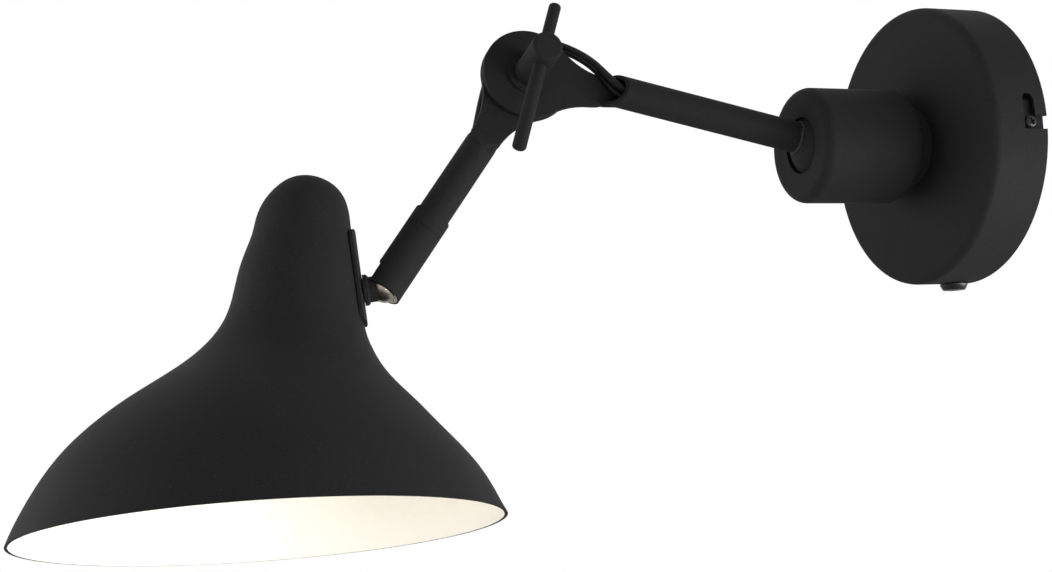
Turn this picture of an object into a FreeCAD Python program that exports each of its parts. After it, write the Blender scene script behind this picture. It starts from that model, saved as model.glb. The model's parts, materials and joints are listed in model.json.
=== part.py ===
"""Articulating wall lamp: ball socket on a round rose, two tubular arms with a clamped elbow,
a swivelling sleeve with a ball stud, and a spun shade.  Millimetres and degrees.

The back of the rose lies in the plane Y = 0, the lamp reaches towards -Y and +Z is up.
The origin is the centre of the rose's back.
"""
import FreeCAD, Part
import math
import os
import Sketcher

Vector = FreeCAD.Vector
Rotation = FreeCAD.Rotation
Placement = FreeCAD.Placement
X_AXIS, Y_AXIS, Z_AXIS = Vector(1, 0, 0), Vector(0, 1, 0), Vector(0, 0, 1)

doc = FreeCAD.newDocument("WallLamp")
sheet = doc.addObject("Spreadsheet::Sheet", "dims")

# ---------------------------------------------------------------- driving dimensions
SIZES = [
    # rose and its bracket
    ("rose_radius", 50, "rose cover, outside"),
    ("rose_depth", 22, "rose cover, front to wall"),
    ("rose_wall", 1.2, "sheet of the cover"),
    ("rose_edge", 3, "rounding of the cover's front edge"),
    ("bracket_width", 16, "strap of the wall bracket"),
    ("bracket_sheet", 2, "sheet of the wall bracket"),
    ("ear_height", 12, "bracket ears, from the wall"),
    ("ear_gap", 0.4, "ear corners to the cover's inside"),
    ("fixing_pitch", 60, "between the two fixing slots"),
    ("fixing_width", 4.6, "width of a fixing slot"),
    ("fixing_slot", 9, "end to end of a fixing slot"),
    ("cable_hole", 5.5, "radius of the cable hole in the bracket"),
    ("rim_screw_height", 6.9, "rim screws, from the wall"),
    ("rim_screw_shank", 2, "radius of a rim screw"),
    ("rim_screw_head", 2.9, "radius of a rim screw's head"),
    ("rim_screw_cap", 2, "height of a rim screw's head"),
    ("bayonet_width", 4.5, "width of the bayonet slots"),
    ("bayonet_leg", 8, "length of the bayonet leg along the rim"),
    ("lock_shank", 2.5, "radius of the lock screw"),
    ("lock_head", 5.2, "radius of the lock screw's head"),
    ("lock_cap", 3.2, "height of the lock screw's head"),
    ("terminal_length", 26, "terminal block"),
    ("terminal_width", 13, "terminal block"),
    ("terminal_height", 11, "terminal block"),
    ("terminal_offset", 22, "terminal block's centre, above the cable hole"),
    ("terminal_pitch", 8, "between the terminals"),
    ("terminal_screw", 1.6, "radius of a terminal screw"),
    ("terminal_bore", 1.9, "radius of a wire hole in the block"),
    ("earth_offset", 24, "earth screw, below the cable hole"),
    ("earth_head", 3.6, "radius of the earth screw's head"),
    ("earth_cap", 2.4, "height of the earth screw's head"),
    # ball socket
    ("nipple_radius", 5, "hollow nipple, outside"),
    ("nipple_bore", 3.4, "hollow nipple, bore"),
    ("nipple_inside", 5.5, "nipple's reach behind the rose's face"),
    ("nipple_outside", 8.5, "nipple's reach in front of the rose's face"),
    ("hole_gap", 0.1, "clearance of a hole round a fixed part"),
    ("washer_sheet", 0.8, "lock washer"),
    ("lock_washer_radius", 8.5, "lock washer, outside"),
    ("nut_flats", 14, "nipple nut, across flats"),
    ("nut_height", 3.6, "nipple nut"),
    ("neck_radius", 14.4, "neck of the socket"),
    ("neck_length", 5, "neck of the socket"),
    ("socket_radius", 20.4, "socket, outside"),
    ("socket_rear_edge", 5.5, "rounding behind the socket"),
    ("socket_front_edge", 3.5, "rounding of the socket's front"),
    ("rear_length", 16.6, "rear housing, from the neck to the seam"),
    ("front_length", 23.9, "front collar, from the seam to its face"),
    ("floor_length", 4, "floor of the rear housing"),
    ("socket_bore", 16.2, "cavity of the rear housing"),
    ("spigot_radius", 18, "spigot between the two housings"),
    ("spigot_length", 4, "spigot between the two housings"),
    ("mouth_radius", 10, "opening that the arm comes through"),
    ("dish_radius", 16.7, "shallow dish round the opening"),
    ("dish_depth", 0.7, "shallow dish round the opening"),
    ("ball_radius", 14, "swivel ball"),
    ("ball_setback", 12.4, "ball's centre behind the front face"),
    ("run_gap", 0.06, "running clearance, on the radius"),
    ("cup_length", 10.5, "friction cup"),
    ("cup_start", 9.5, "friction cup's back, from the neck"),
    ("cup_bore", 5, "wire hole through the cup"),
    ("disc_inner", 7, "cup spring, inner edge"),
    ("disc_outer", 15, "cup spring, outer edge"),
    ("disc_rise", 4.2, "cup spring, dish"),
    ("disc_sheet", 1, "cup spring, sheet"),
    ("ball_wire_bore", 3.6, "wire hole through the ball"),
    # arms
    ("tube_radius", 5.6, "arm tubes, outside"),
    ("tube_wall", 1.2, "arm tubes, wall"),
    ("tube_insert", 6, "upper tube past the ball's centre"),
    ("upper_length", 111.6, "ball's centre to elbow axis"),
    ("lower_length", 91.3, "elbow axis to knuckle centre"),
    ("lug_radius", 16, "flattened end of a tube"),
    ("lug_sheet", 2, "flattened end of a tube"),
    ("lug_blend", 26, "hollow sweep from the lug to the tube"),
    ("tongue_length", 32, "flat tongue, from the elbow axis"),
    ("gutter_start", 23, "where the tube's gutter begins, from the elbow axis"),
    ("gutter_low", 26.4, "where the open gutter's edge leaves the tongue"),
    ("gutter_high", 34.6, "where the tube's far wall begins"),
    # elbow clamp
    ("elbow_washer_sheet", 0.5, "friction washer between the lugs"),
    ("elbow_washer_radius", 13, "friction washer between the lugs"),
    ("bolt_radius", 3, "pivot bolt"),
    ("bolt_flats", 10, "pivot bolt's head, across flats"),
    ("bolt_head", 3.6, "pivot bolt's head"),
    ("bolt_reach", 11, "pivot bolt above the front lug"),
    ("clamp_washer", 7.5, "washers of the pivot bolt, outside"),
    ("clamp_washer_sheet", 1, "washers of the pivot bolt"),
    ("barrel_radius", 5.25, "clamp barrel"),
    ("barrel_height", 22.9, "clamp barrel's end above the front lug"),
    ("barrel_edge", 1.2, "rounding of the clamp barrel's end"),
    ("bar_height", 17, "tommy bar above the front lug"),
    ("bar_radius", 2.1, "tommy bar, short side and through the barrel"),
    ("bar_grip", 2.4, "radius of the tommy bar's long side"),
    ("bar_short", 18.9, "tommy bar, short side"),
    ("bar_long", 36.6, "tommy bar, long side"),
    ("bar_edge", 1.2, "rounding of the bar's ends"),
    # swivel sleeve and knuckle
    ("sleeve_radius", 6.35, "collar and sleeve, outside"),
    ("collar_length", 7.2, "collar on the lower tube"),
    ("collar_floor", 1.6, "floor of the collar"),
    ("collar_edge", 0.6, "chamfer of the collar"),
    ("seam_gap", 0.15, "gap between collar and sleeve"),
    ("spindle_radius", 4.2, "swivel spindle"),
    ("spindle_bore", 2.8, "wire hole through the spindle"),
    ("spindle_length", 9, "swivel spindle, from the collar's end"),
    ("web_length", 7, "sleeve's bearing on the spindle"),
    ("clip_radius", 5.5, "spindle clip"),
    ("clip_sheet", 0.8, "spindle clip"),
    ("sleeve_reach", 23.35, "sleeve behind the knuckle's centre"),
    ("sleeve_bore", 5.8, "cavity of the sleeve"),
    ("sleeve_past", 1.9, "sleeve past the knuckle's centre"),
    ("stud_ball", 5, "ball of the stud"),
    ("bush_length", 5, "ball bush"),
    ("seat_length", 5, "ball seat"),
    ("seat_bore", 2.4, "wire hole through the ball seat"),
    ("wave_rise", 1.6, "seat spring, dish"),
    ("wave_sheet", 0.5, "seat spring, sheet"),
    ("notch_width", 8.8, "side notch of the sleeve"),
    ("notch_back", 7, "side notch behind the knuckle's centre"),
    ("stem_radius", 4.2, "stem of the ball stud"),
    ("stem_length", 5.2, "stem, from the knuckle's centre"),
    ("thread_radius", 4, "threaded end of the stud"),
    ("thread_end", 14.2, "end of the stud, from the knuckle's centre"),
    ("stud_bore", 2.4, "wire hole through the stud"),
    ("flange_radius", 5.1, "flange on the stud"),
    ("flange_edge", 0.6, "chamfer of the stud's flange"),
    ("plate_gap", 0.1, "flange to saddle plate"),
    ("plate_sheet", 1, "saddle plate"),
    ("plate_width", 14, "saddle plate"),
    ("plate_above", 19.8, "saddle plate above the stud"),
    ("plate_below", 11.2, "saddle plate below the stud"),
    ("plate_corner", 3, "saddle plate's corners"),
    ("plate_distance", 7.1, "knuckle's centre to the saddle plate"),
    ("stud_nut_flats", 10.5, "stud nut, across flats"),
    ("stud_nut_height", 2.4, "stud nut"),
    # shade
    ("shade_wall", 0.7, "shade's sheet, measured level"),
    ("shade_drop", 0.8, "shade's sheet, measured down"),
    ("neck_back", 34.75, "neck's back wall at its upper section, from the rim's centre"),
    ("neck_lean", 3.8, "lean of the neck's back wall, degrees"),
    ("knuckle_drop", 1.2, "knuckle's centre below the neck's upper section"),
    ("plate_rest", 0.3, "saddle plate to the neck"),
    # lamp and its holder
    ("foot_gap", 1.05, "holder bracket's foot to the neck's wall, at its middle"),
    ("foot_reach", 8, "holder bracket's foot, each way from the stud"),
    ("strip_sheet", 1, "holder bracket"),
    ("strip_width", 12, "holder bracket"),
    ("strip_step", 2.2, "joggle of the holder bracket"),
    ("holder_top", 22, "top of the lampholder above the stud"),
    ("holder_axis", 27.5, "lamp's axis from the knuckle's centre"),
    ("strip_reach", 36.5, "end of the bracket's arm from the knuckle's centre"),
    ("holder_radius", 12.2, "lampholder"),
    ("holder_length", 34, "lampholder"),
    ("holder_shoulder", 5, "sloping shoulder of the lampholder"),
    ("holder_crown", 9, "radius at the lampholder's top"),
    ("holder_bore", 7.3, "screw socket of the lampholder"),
    ("holder_depth", 22, "screw socket of the lampholder"),
    ("stub_radius", 4, "lampholder's threaded stub"),
    ("stub_bore", 2.6, "lampholder's threaded stub, bore"),
    ("stub_length", 4.6, "lampholder's threaded stub"),
    ("holder_nut_flats", 12, "nut on the stub, across flats"),
    ("holder_nut_height", 3, "nut on the stub"),
    ("contact_radius", 5, "centre contact"),
    ("contact_sheet", 1.2, "centre contact"),
    ("cap_radius", 6.95, "lamp cap"),
    ("cap_flange", 8, "lamp cap at the glass"),
    ("cap_flange_length", 1.5, "lamp cap at the glass"),
    ("cap_length", 22, "lamp cap"),
    ("cap_tip", 2.4, "lamp cap's tip contact"),
    ("glass_radius", 22.5, "lamp glass"),
    ("glass_wall", 1, "lamp glass"),
    ("lamp_length", 72, "lamp, from cap tip to glass tip"),
    ("glass_shoulder", 14.9, "cone of the glass, above the ball's centre"),
    # lead at the elbow
    ("lead_radius", 1.35, "thicker strand of the lead"),
    ("strand_radius", 0.95, "thinner strand of the lead"),
    # the pose that the lamp is shown in
    ("orbit", 23.2, "ball about the socket's axis, degrees"),
    ("tilt", -15.4, "arm off the socket's axis, degrees"),
    ("twist", -102.4, "arm about its own axis, degrees"),
    ("elbow_bend", 67.4, "between the two arms, degrees"),
    ("bar_angle", 84.5, "tommy bar from the upper arm, degrees"),
    ("sleeve_turn", -163.4, "sleeve about the lower arm, degrees"),
    ("stud_bend", 51.4, "stud off the lower arm, degrees"),
    ("shade_turn", -100.8, "shade about the stud, degrees"),
]

# Shade outline: (name, height above the rim, level of the front wall, level of the back wall).
# The neck's back wall is one straight line, so its sections give no level for it.
SHADE_SECTIONS = [
    ("rim", 0, -76.8, 76.8),
    ("skirt", 8, -73.1, 73.1),
    ("apron", 18, -67.2, 67.2),
    ("bell", 30, -57.4, 57.4),
    ("flare", 42, -42.2, 47.2),
    ("throat", 50, -29.2, 41.2),
    ("waist", 56, -20.4, 38.2),
    ("collar", 62, -13.8, 36.3),
    ("neck", 68, -9.3, None),
    ("upper", 78, -5.5, None),
    ("high", 92, -0.9, None),
    ("crown", 104, 3.3, None),
    ("dome", 110, 7.0, 30.9),
    ("cap", 114, 11.3, 26.8),
    ("tip", 116.2, 17, 21),
]

rows = list(SIZES)
for name, height, front, back in SHADE_SECTIONS:
    rows.append(("shade_%s_height" % name, height, "shade section above the rim"))
    rows.append(("shade_%s_front" % name, front, "front wall from the rim's centre"))
    if back is not None:
        rows.append(("shade_%s_back" % name, back, "back wall from the rim's centre"))
for number, (alias, value, note) in enumerate(rows, start=1):
    sheet.set("A%d" % number, alias)
    sheet.set("B%d" % number, str(value))
    sheet.set("C%d" % number, note)
    sheet.setAlias("B%d" % number, alias)
doc.recompute()


def size(alias):
    return float(sheet.get(alias))


# ---------------------------------------------------------------- building helpers
PIECES = []


def keep(obj, label, place=None):
    """Enter a finished sub-part under its own name and set it in place."""
    obj.Label = label
    if place is not None:
        obj.Placement = place
    PIECES.append(obj)
    return obj


def attach(feature, body, role, offset):
    """Lay a feature on one of its body's origin planes, moved by three expressions."""
    plane = [item for item in body.Origin.OriginFeatures if item.Role == role][0]
    feature.AttachmentSupport = [(plane, "")]
    feature.MapMode = "FlatFace"
    for axis, text in zip("xyz", offset):
        feature.setExpression("AttachmentOffset.Base." + axis, text)


def start_body(label, place):
    return keep(doc.addObject("PartDesign::Body", label), label, place)


def corner_sketch(body, corners, role="XY_Plane", offset=("0", "0", "0")):
    """A closed outline of straight lines; each corner is a pair of expressions."""
    sketch = body.newObject("Sketcher::SketchObject", body.Name + "_outline")
    attach(sketch, body, role, offset)
    count = len(corners)
    turn = 2 * math.pi / count
    loop = [Vector(2 + math.cos(i * turn), 2 + math.sin(i * turn), 0) for i in range(count)]
    for i in range(count):
        sketch.addGeometry(Part.LineSegment(loop[i], loop[(i + 1) % count]), False)
    for i in range(count):
        sketch.addConstraint(Sketcher.Constraint("Coincident", i, 2, (i + 1) % count, 1))
    for i, (across, up) in enumerate(corners):
        for kind, text, value in (("DistanceX", across, loop[i].x), ("DistanceY", up, loop[i].y)):
            index = sketch.addConstraint(Sketcher.Constraint(kind, i, 1, value))
            sketch.setExpression("Constraints[%d]" % index, text)
    return sketch


def circle_sketch(body, radii, role="XY_Plane", offset=("0", "0", "0")):
    """Circles about the plane's own origin, such as a disc or a ring."""
    sketch = body.newObject("Sketcher::SketchObject", body.Name + "_circles")
    attach(sketch, body, role, offset)
    for i, text in enumerate(radii):
        sketch.addGeometry(Part.Circle(Vector(0, 0, 0), Z_AXIS, 1.0 + i), False)
        sketch.addConstraint(Sketcher.Constraint("Coincident", i, 3, -1, 1))
        index = sketch.addConstraint(Sketcher.Constraint("Radius", i, 1.0 + i))
        sketch.setExpression("Constraints[%d]" % index, text)
    return sketch


def pad(body, sketch, length, symmetric=False):
    feature = body.newObject("PartDesign::Pad", body.Name + "_pad")
    feature.Profile = sketch
    feature.setExpression("Length", length)
    if symmetric:
        feature.SideType = "Symmetric"
    return feature


def pocket(body, sketch, length):
    """Cut an outline to both sides of its plane."""
    feature = body.newObject("PartDesign::Pocket", body.Name + "_pocket")
    feature.Profile = sketch
    feature.SideType = "Symmetric"
    feature.setExpression("Length", length)
    return feature


def revolve(body, corners):
    """Turn an outline of (radius, height) corners about the body's Z axis."""
    sketch = corner_sketch(body, corners, "XZ_Plane")
    feature = body.newObject("PartDesign::Revolution", body.Name + "_turn")
    feature.Profile = sketch
    feature.ReferenceAxis = (sketch, ["V_Axis"])
    feature.Angle = 360
    return feature


def turned(label, place, corners):
    body = start_body(label, place)
    revolve(body, corners)
    return body


def primitive(body, kind, sizes, offset=("0", "0", "0"), turn=None):
    """An additive or subtractive cylinder, sphere, cone or box, its sizes bound to expressions."""
    feature = body.newObject("PartDesign::" + kind, body.Name + "_" + kind)
    if turn is not None:
        feature.AttachmentOffset = Placement(Vector(0, 0, 0), turn)
    attach(feature, body, "XY_Plane", offset)
    for prop, text in sizes.items():
        feature.setExpression(prop, text)
    return feature


def drill(body, radius, length, offset=("0", "0", "0"), turn=None):
    return primitive(body, "SubtractiveCylinder", {"Radius": radius, "Height": length}, offset, turn)


def edge_names(shape, wanted):
    return ["Edge%d" % (i + 1) for i, edge in enumerate(shape.Edges) if wanted(edge)]


def ring_edge(radius, height):
    """Pick the circle of this radius at this height on a turned piece."""
    def wanted(edge):
        if not isinstance(edge.Curve, Part.Circle):
            return False
        return abs(edge.Curve.Radius - radius) < 1e-4 and abs(edge.Curve.Center.z - height) < 1e-4
    return wanted


def ease(body, kind, prop, text, wanted):
    """Round or chamfer the picked edges of a body's last feature."""
    doc.recompute()
    base = body.Tip
    feature = body.newObject("PartDesign::" + kind, body.Name + "_" + kind)
    feature.Base = (base, edge_names(base.Shape, wanted))
    feature.setExpression(prop, text)
    return feature


def bound(kind, name, sizes, place=None):
    """A plain solid whose sizes are bound to expressions."""
    obj = doc.addObject("Part::" + kind, name)
    for prop, text in sizes.items():
        obj.setExpression(prop, text)
    if place is not None:
        obj.Placement = place
    return obj


def combine(kind, name, base, tool):
    obj = doc.addObject("Part::" + kind, name)
    obj.Base = base
    obj.Tool = tool
    return obj


def fuse(name, shapes):
    obj = doc.addObject("Part::MultiFuse", name)
    obj.Shapes = shapes
    return obj


def hex_nut(label, place, flats, height, bore):
    """A hexagonal nut that stands on its frame's XY plane."""
    blank = bound("Prism", label + "_blank", {"Circumradius": flats + " / 2 / cos(30 deg)", "Height": height})
    blank.Polygon = 6
    hole = bound("Cylinder", label + "_hole", {"Radius": bore, "Height": height})
    return keep(combine("Cut", label, blank, hole), label, place)


def group(label, members):
    """Identical fasteners that share one node."""
    obj = doc.addObject("Part::Compound", label)
    obj.Links = members
    return keep(obj, label)


# ---------------------------------------------------------------- where things are
def turn_about(axis, degrees):
    return Rotation(axis, degrees)


# Turned pieces of the socket stand on the wall, their Z axis pointing out of it.
WALL = Placement(Vector(0, 0, 0), turn_about(X_AXIS, 90))

ball_height = (size("rose_depth") + size("neck_length") + size("rear_length")
               + size("front_length") - size("ball_setback"))
ball_centre = Vector(0, -ball_height, 0)

# Upper arm: X runs out along the arm, Z is the elbow's axis.
arm_turn = turn_about(Z_AXIS, -90).multiply(turn_about(X_AXIS, size("orbit")))
arm_turn = arm_turn.multiply(turn_about(Y_AXIS, size("tilt"))).multiply(turn_about(X_AXIS, size("twist")))
elbow_centre = ball_centre + arm_turn.multVec(Vector(size("upper_length"), 0, 0))
BALL = Placement(ball_centre, arm_turn.multiply(turn_about(Y_AXIS, 90)))
ELBOW = Placement(elbow_centre, arm_turn)
UPPER_ARM = Placement(elbow_centre, arm_turn.multiply(turn_about(Z_AXIS, 180)))

# Lower arm: its tube lies behind the upper one, by two tube radii and the friction washer.
lug_spacing = 2 * size("tube_radius") + size("elbow_washer_sheet")
lower_turn = arm_turn.multiply(turn_about(Z_AXIS, size("elbow_bend")))
lower_start = elbow_centre + arm_turn.multVec(Vector(0, 0, -lug_spacing))
LOWER_ARM = Placement(lower_start, lower_turn.multiply(turn_about(X_AXIS, 180)))
COLLAR = Placement(lower_start, lower_turn.multiply(turn_about(Y_AXIS, 90)))

# Knuckle: X runs along the arm, then along the stud, then the shade turns about the stud.
knuckle_centre = lower_start + lower_turn.multVec(Vector(size("lower_length"), 0, 0))
sleeve_turn = lower_turn.multiply(turn_about(X_AXIS, size("sleeve_turn")))
stud_turn = sleeve_turn.multiply(turn_about(Z_AXIS, size("stud_bend")))
neck_turn = stud_turn.multiply(turn_about(X_AXIS, size("shade_turn")))
SLEEVE = Placement(knuckle_centre, sleeve_turn.multiply(turn_about(Y_AXIS, 90)))
STUD = Placement(knuckle_centre, stud_turn.multiply(turn_about(Y_AXIS, 90)))
NECK = Placement(knuckle_centre, neck_turn)

# Shade: X runs towards the wall, Z is the rim's axis, the origin is the rim's centre.
shade_turn = neck_turn.multiply(turn_about(Z_AXIS, 180)).multiply(turn_about(Y_AXIS, size("neck_lean")))
lean_angle = math.radians(size("neck_lean"))
knuckle_stand = size("plate_distance") + size("plate_sheet") + size("plate_rest")
knuckle_across = (size("neck_back") + size("knuckle_drop") * math.tan(lean_angle)
                  + knuckle_stand / math.cos(lean_angle))
knuckle_in_shade = Vector(knuckle_across, 0, size("shade_upper_height") - size("knuckle_drop"))
SHADE = Placement(knuckle_centre - shade_turn.multVec(knuckle_in_shade), shade_turn)
LAMP = Placement(knuckle_centre + neck_turn.multVec(Vector(size("holder_axis"), 0, 0)), neck_turn)


# ---------------------------------------------------------------- rose and bracket
EAR = ("sqrt((dims.rose_radius - dims.rose_wall - dims.ear_gap)^2"
       " - (dims.bracket_width / 2)^2)")


def wall_bracket():
    """Three-armed strap with an ear for each rim screw and two slots for the wall screws."""
    body = start_body("wall_bracket", WALL)
    half = "dims.bracket_width / 2"
    strap = [("-" + EAR, "-" + half), (EAR, "-" + half), (EAR, half), ("-" + EAR, half)]
    pad(body, corner_sketch(body, strap), "dims.bracket_sheet")
    leg = [("-" + half, "-" + EAR), (half, "-" + EAR), (half, "0"), ("-" + half, "0")]
    pad(body, corner_sketch(body, leg), "dims.bracket_sheet")
    ear = {"Length": "dims.bracket_sheet", "Width": "dims.bracket_width", "Height": "dims.ear_height"}
    primitive(body, "AdditiveBox", ear, (EAR + " - dims.bracket_sheet", "-" + half, "0"))
    primitive(body, "AdditiveBox", ear, ("-" + EAR, "-" + half, "0"))
    foot = {"Length": "dims.bracket_width", "Width": "dims.bracket_sheet", "Height": "dims.ear_height"}
    primitive(body, "AdditiveBox", foot, ("-" + half, "-" + EAR, "0"))
    depth = "dims.bracket_sheet"
    drill(body, "dims.cable_hole", depth)
    run = "(dims.fixing_slot - dims.fixing_width)"
    for side in ("", "-"):
        middle = side + "dims.fixing_pitch / 2"
        for end in (" + ", " - "):
            drill(body, "dims.fixing_width / 2", depth, (middle + end + run + " / 2", "0", "0"))
        slot = {"Length": run, "Width": "dims.fixing_width", "Height": depth}
        primitive(body, "SubtractiveBox", slot, (middle + " - " + run + " / 2", "-dims.fixing_width / 2", "0"))
    reach = "2 * dims.rose_radius"
    drill(body, "dims.rim_screw_shank", reach, ("-dims.rose_radius", "0", "dims.rim_screw_height"),
          turn_about(Y_AXIS, 90))
    drill(body, "dims.lock_shank", "dims.rose_radius", ("0", "0", "dims.rim_screw_height"),
          turn_about(X_AXIS, 90))
    drill(body, "dims.rim_screw_shank", depth, ("0", "-dims.earth_offset", "0"))
    return body


def rose_cover():
    """Spun cup with two bayonet slots in its rim, a hole for the lock screw and one for the nipple."""
    inside = "dims.rose_radius - dims.rose_wall"
    ceiling = "dims.rose_depth - dims.rose_wall"
    hole = "dims.nipple_radius + dims.hole_gap"
    body = turned("rose_cover", WALL, [
        (hole, ceiling), (inside, ceiling), (inside, "0"), ("dims.rose_radius", "0"),
        ("dims.rose_radius", "dims.rose_depth"), (hole, "dims.rose_depth")])
    ease(body, "Fillet", "Radius", "dims.rose_edge", ring_edge(size("rose_radius"), size("rose_depth")))
    ease(body, "Fillet", "Radius", "dims.rose_edge - dims.rose_wall",
         ring_edge(size("rose_radius") - size("rose_wall"), size("rose_depth") - size("rose_wall")))
    half = "dims.bayonet_width / 2"
    low = "dims.rim_screw_height - " + half
    across = "4 * dims.rose_wall"
    for side in (1, -1):
        start = "dims.rose_radius - 3 * dims.rose_wall" if side > 0 else "-dims.rose_radius - dims.rose_wall"
        entry = {"Length": across, "Width": "dims.bayonet_width", "Height": "dims.rim_screw_height + " + half}
        primitive(body, "SubtractiveBox", entry, (start, "-" + half, "0"))
        leg = {"Length": across, "Width": "dims.bayonet_leg", "Height": "dims.bayonet_width"}
        from_y = "0" if side > 0 else "-dims.bayonet_leg"
        primitive(body, "SubtractiveBox", leg, (start, from_y, low))
        end_y = "dims.bayonet_leg" if side > 0 else "-dims.bayonet_leg"
        drill(body, half, across, (start, end_y, "dims.rim_screw_height"), turn_about(Y_AXIS, 90))
    drill(body, "dims.lock_shank + dims.hole_gap", "2 * dims.rose_radius",
          ("0", "0", "dims.rim_screw_height"), turn_about(X_AXIS, 90))
    return body


def rim_screws():
    """Two screws in the bayonet slots, and the lock screw below."""
    half_ear = size("bracket_width") / 2
    inside = size("rose_radius") - size("rose_wall") - size("ear_gap")
    ear_face = math.sqrt(inside ** 2 - half_ear ** 2) - size("bracket_sheet")
    seat = size("rose_radius") + size("hole_gap")
    screws = []
    for index, heading in enumerate((0, 180, -90)):
        lock = heading == -90
        name = "lock_screw" if lock else "rim_screw_%d" % (index + 1)
        shank, head, cap = (("lock_shank", "lock_head", "lock_cap") if lock
                            else ("rim_screw_shank", "rim_screw_head", "rim_screw_cap"))
        angle = math.radians(heading)
        spot = Vector(seat * math.cos(angle), -size("rim_screw_height"), seat * math.sin(angle))
        outwards = Rotation(Z_AXIS, Vector(math.cos(angle), 0, math.sin(angle)))
        pin = bound("Cylinder", name + "_shank", {"Radius": "dims." + shank},
                    Placement(Vector(0, 0, ear_face - seat), Rotation()))
        pin.Height = seat - ear_face
        dome = bound("Cone", name + "_head", {"Radius1": "dims." + head, "Radius2": "dims." + head + " * 0.85",
                                              "Height": "dims." + cap})
        screw = fuse(name, [pin, dome])
        screw.Placement = Placement(spot, outwards)
        screws.append(screw)
    keep(screws[2], "lock_screw")
    return group("rim_screws", screws[:2])


def terminal_block():
    """Three-way block on the bracket, its wire holes running up and down."""
    body = start_body("terminal_block", WALL)
    corner = ("-dims.terminal_length / 2", "dims.terminal_offset - dims.terminal_width / 2", "dims.bracket_sheet")
    sizes = {"Length": "dims.terminal_length", "Width": "dims.terminal_width", "Height": "dims.terminal_height"}
    primitive(body, "AdditiveBox", sizes, corner)
    for step in ("-", "0 * ", ""):
        across = step + "dims.terminal_pitch"
        drill(body, "dims.terminal_bore", "dims.terminal_width",
              (across, "dims.terminal_offset + dims.terminal_width / 2",
               "dims.bracket_sheet + dims.terminal_height / 3"), turn_about(X_AXIS, 90))
        drill(body, "dims.terminal_screw", "dims.terminal_height / 3",
              (across, "dims.terminal_offset", "dims.bracket_sheet + dims.terminal_height * 2 / 3"))
    return body


def terminal_screws():
    members = []
    top = size("bracket_sheet") + size("terminal_height")
    for step in (-1, 0, 1):
        screw = bound("Cylinder", "terminal_screw_%d" % (step + 2),
                      {"Radius": "dims.terminal_screw", "Height": "dims.terminal_height / 3"})
        spot = Vector(step * size("terminal_pitch"), size("terminal_offset"), top - size("terminal_height") / 3)
        screw.Placement = WALL.multiply(Placement(spot, Rotation()))
        members.append(screw)
    return group("terminal_screws", members)


def earth_screw():
    shank = bound("Cylinder", "earth_shank", {"Radius": "dims.rim_screw_shank", "Height": "dims.bracket_sheet"})
    head = bound("Cylinder", "earth_cap", {"Radius": "dims.earth_head", "Height": "dims.earth_cap"})
    head.setExpression("Placement.Base.z", "dims.bracket_sheet")
    spot = Placement(Vector(0, -size("earth_offset"), 0), Rotation())
    return keep(fuse("earth_screw", [shank, head]), "earth_screw", WALL.multiply(spot))


# ---------------------------------------------------------------- ball socket
NECK_END = "dims.rose_depth + dims.neck_length"
SEAM = "(" + NECK_END + " + dims.rear_length)"
FACE = "(" + SEAM + " + dims.front_length)"
BALL_HEIGHT = "(" + FACE + " - dims.ball_setback)"
SEAT_RADIUS = "dims.ball_radius + dims.run_gap"


def nipple():
    low = "dims.rose_depth - dims.nipple_inside"
    high = "dims.rose_depth + dims.nipple_outside"
    return turned("nipple", WALL, [
        ("dims.nipple_bore", low), ("dims.nipple_radius", low),
        ("dims.nipple_radius", high), ("dims.nipple_bore", high)])


def nipple_washer_and_nut():
    ceiling = "dims.rose_depth - dims.rose_wall"
    low = ceiling + " - dims.washer_sheet"
    turned("lock_washer", WALL, [
        ("dims.nipple_radius", low), ("dims.lock_washer_radius", low),
        ("dims.lock_washer_radius", ceiling), ("dims.nipple_radius", ceiling)])
    top = size("rose_depth") - size("rose_wall") - size("washer_sheet")
    place = WALL.multiply(Placement(Vector(0, 0, top - size("nut_height")), Rotation()))
    hex_nut("nipple_nut", place, "dims.nut_flats", "dims.nut_height", "dims.nipple_radius")


def socket_rear():
    """Rear housing: neck on the rose, rounded back, cavity for the cup and its spring."""
    floor = NECK_END + " + dims.floor_length"
    spigot_end = SEAM + " + dims.spigot_length"
    body = turned("socket_rear", WALL, [
        ("dims.nipple_radius", "dims.rose_depth"), ("dims.neck_radius", "dims.rose_depth"),
        ("dims.neck_radius", NECK_END), ("dims.socket_radius", NECK_END),
        ("dims.socket_radius", SEAM), ("dims.spigot_radius", SEAM),
        ("dims.spigot_radius", spigot_end), ("dims.socket_bore", spigot_end),
        ("dims.socket_bore", floor), ("dims.nipple_radius", floor)])
    ease(body, "Fillet", "Radius", "dims.socket_rear_edge",
         ring_edge(size("socket_radius"), size("rose_depth") + size("neck_length")))
    return body


def socket_front():
    """Front collar: screws on the spigot, holds the ball behind its lip."""
    spigot_end = SEAM + " + dims.spigot_length"
    body = turned("socket_front", WALL, [
        ("dims.spigot_radius", SEAM), ("dims.socket_radius", SEAM),
        ("dims.socket_radius", FACE), ("dims.dish_radius", FACE),
        ("dims.mouth_radius", FACE + " - dims.dish_depth"), ("dims.mouth_radius", BALL_HEIGHT),
        (SEAT_RADIUS, BALL_HEIGHT), (SEAT_RADIUS, spigot_end), ("dims.spigot_radius", spigot_end)])
    face = (size("rose_depth") + size("neck_length") + size("rear_length") + size("front_length"))
    ease(body, "Fillet", "Radius", "dims.socket_front_edge", ring_edge(size("socket_radius"), face))
    primitive(body, "SubtractiveSphere", {"Radius": SEAT_RADIUS}, ("0", "0", BALL_HEIGHT))
    return body


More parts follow.
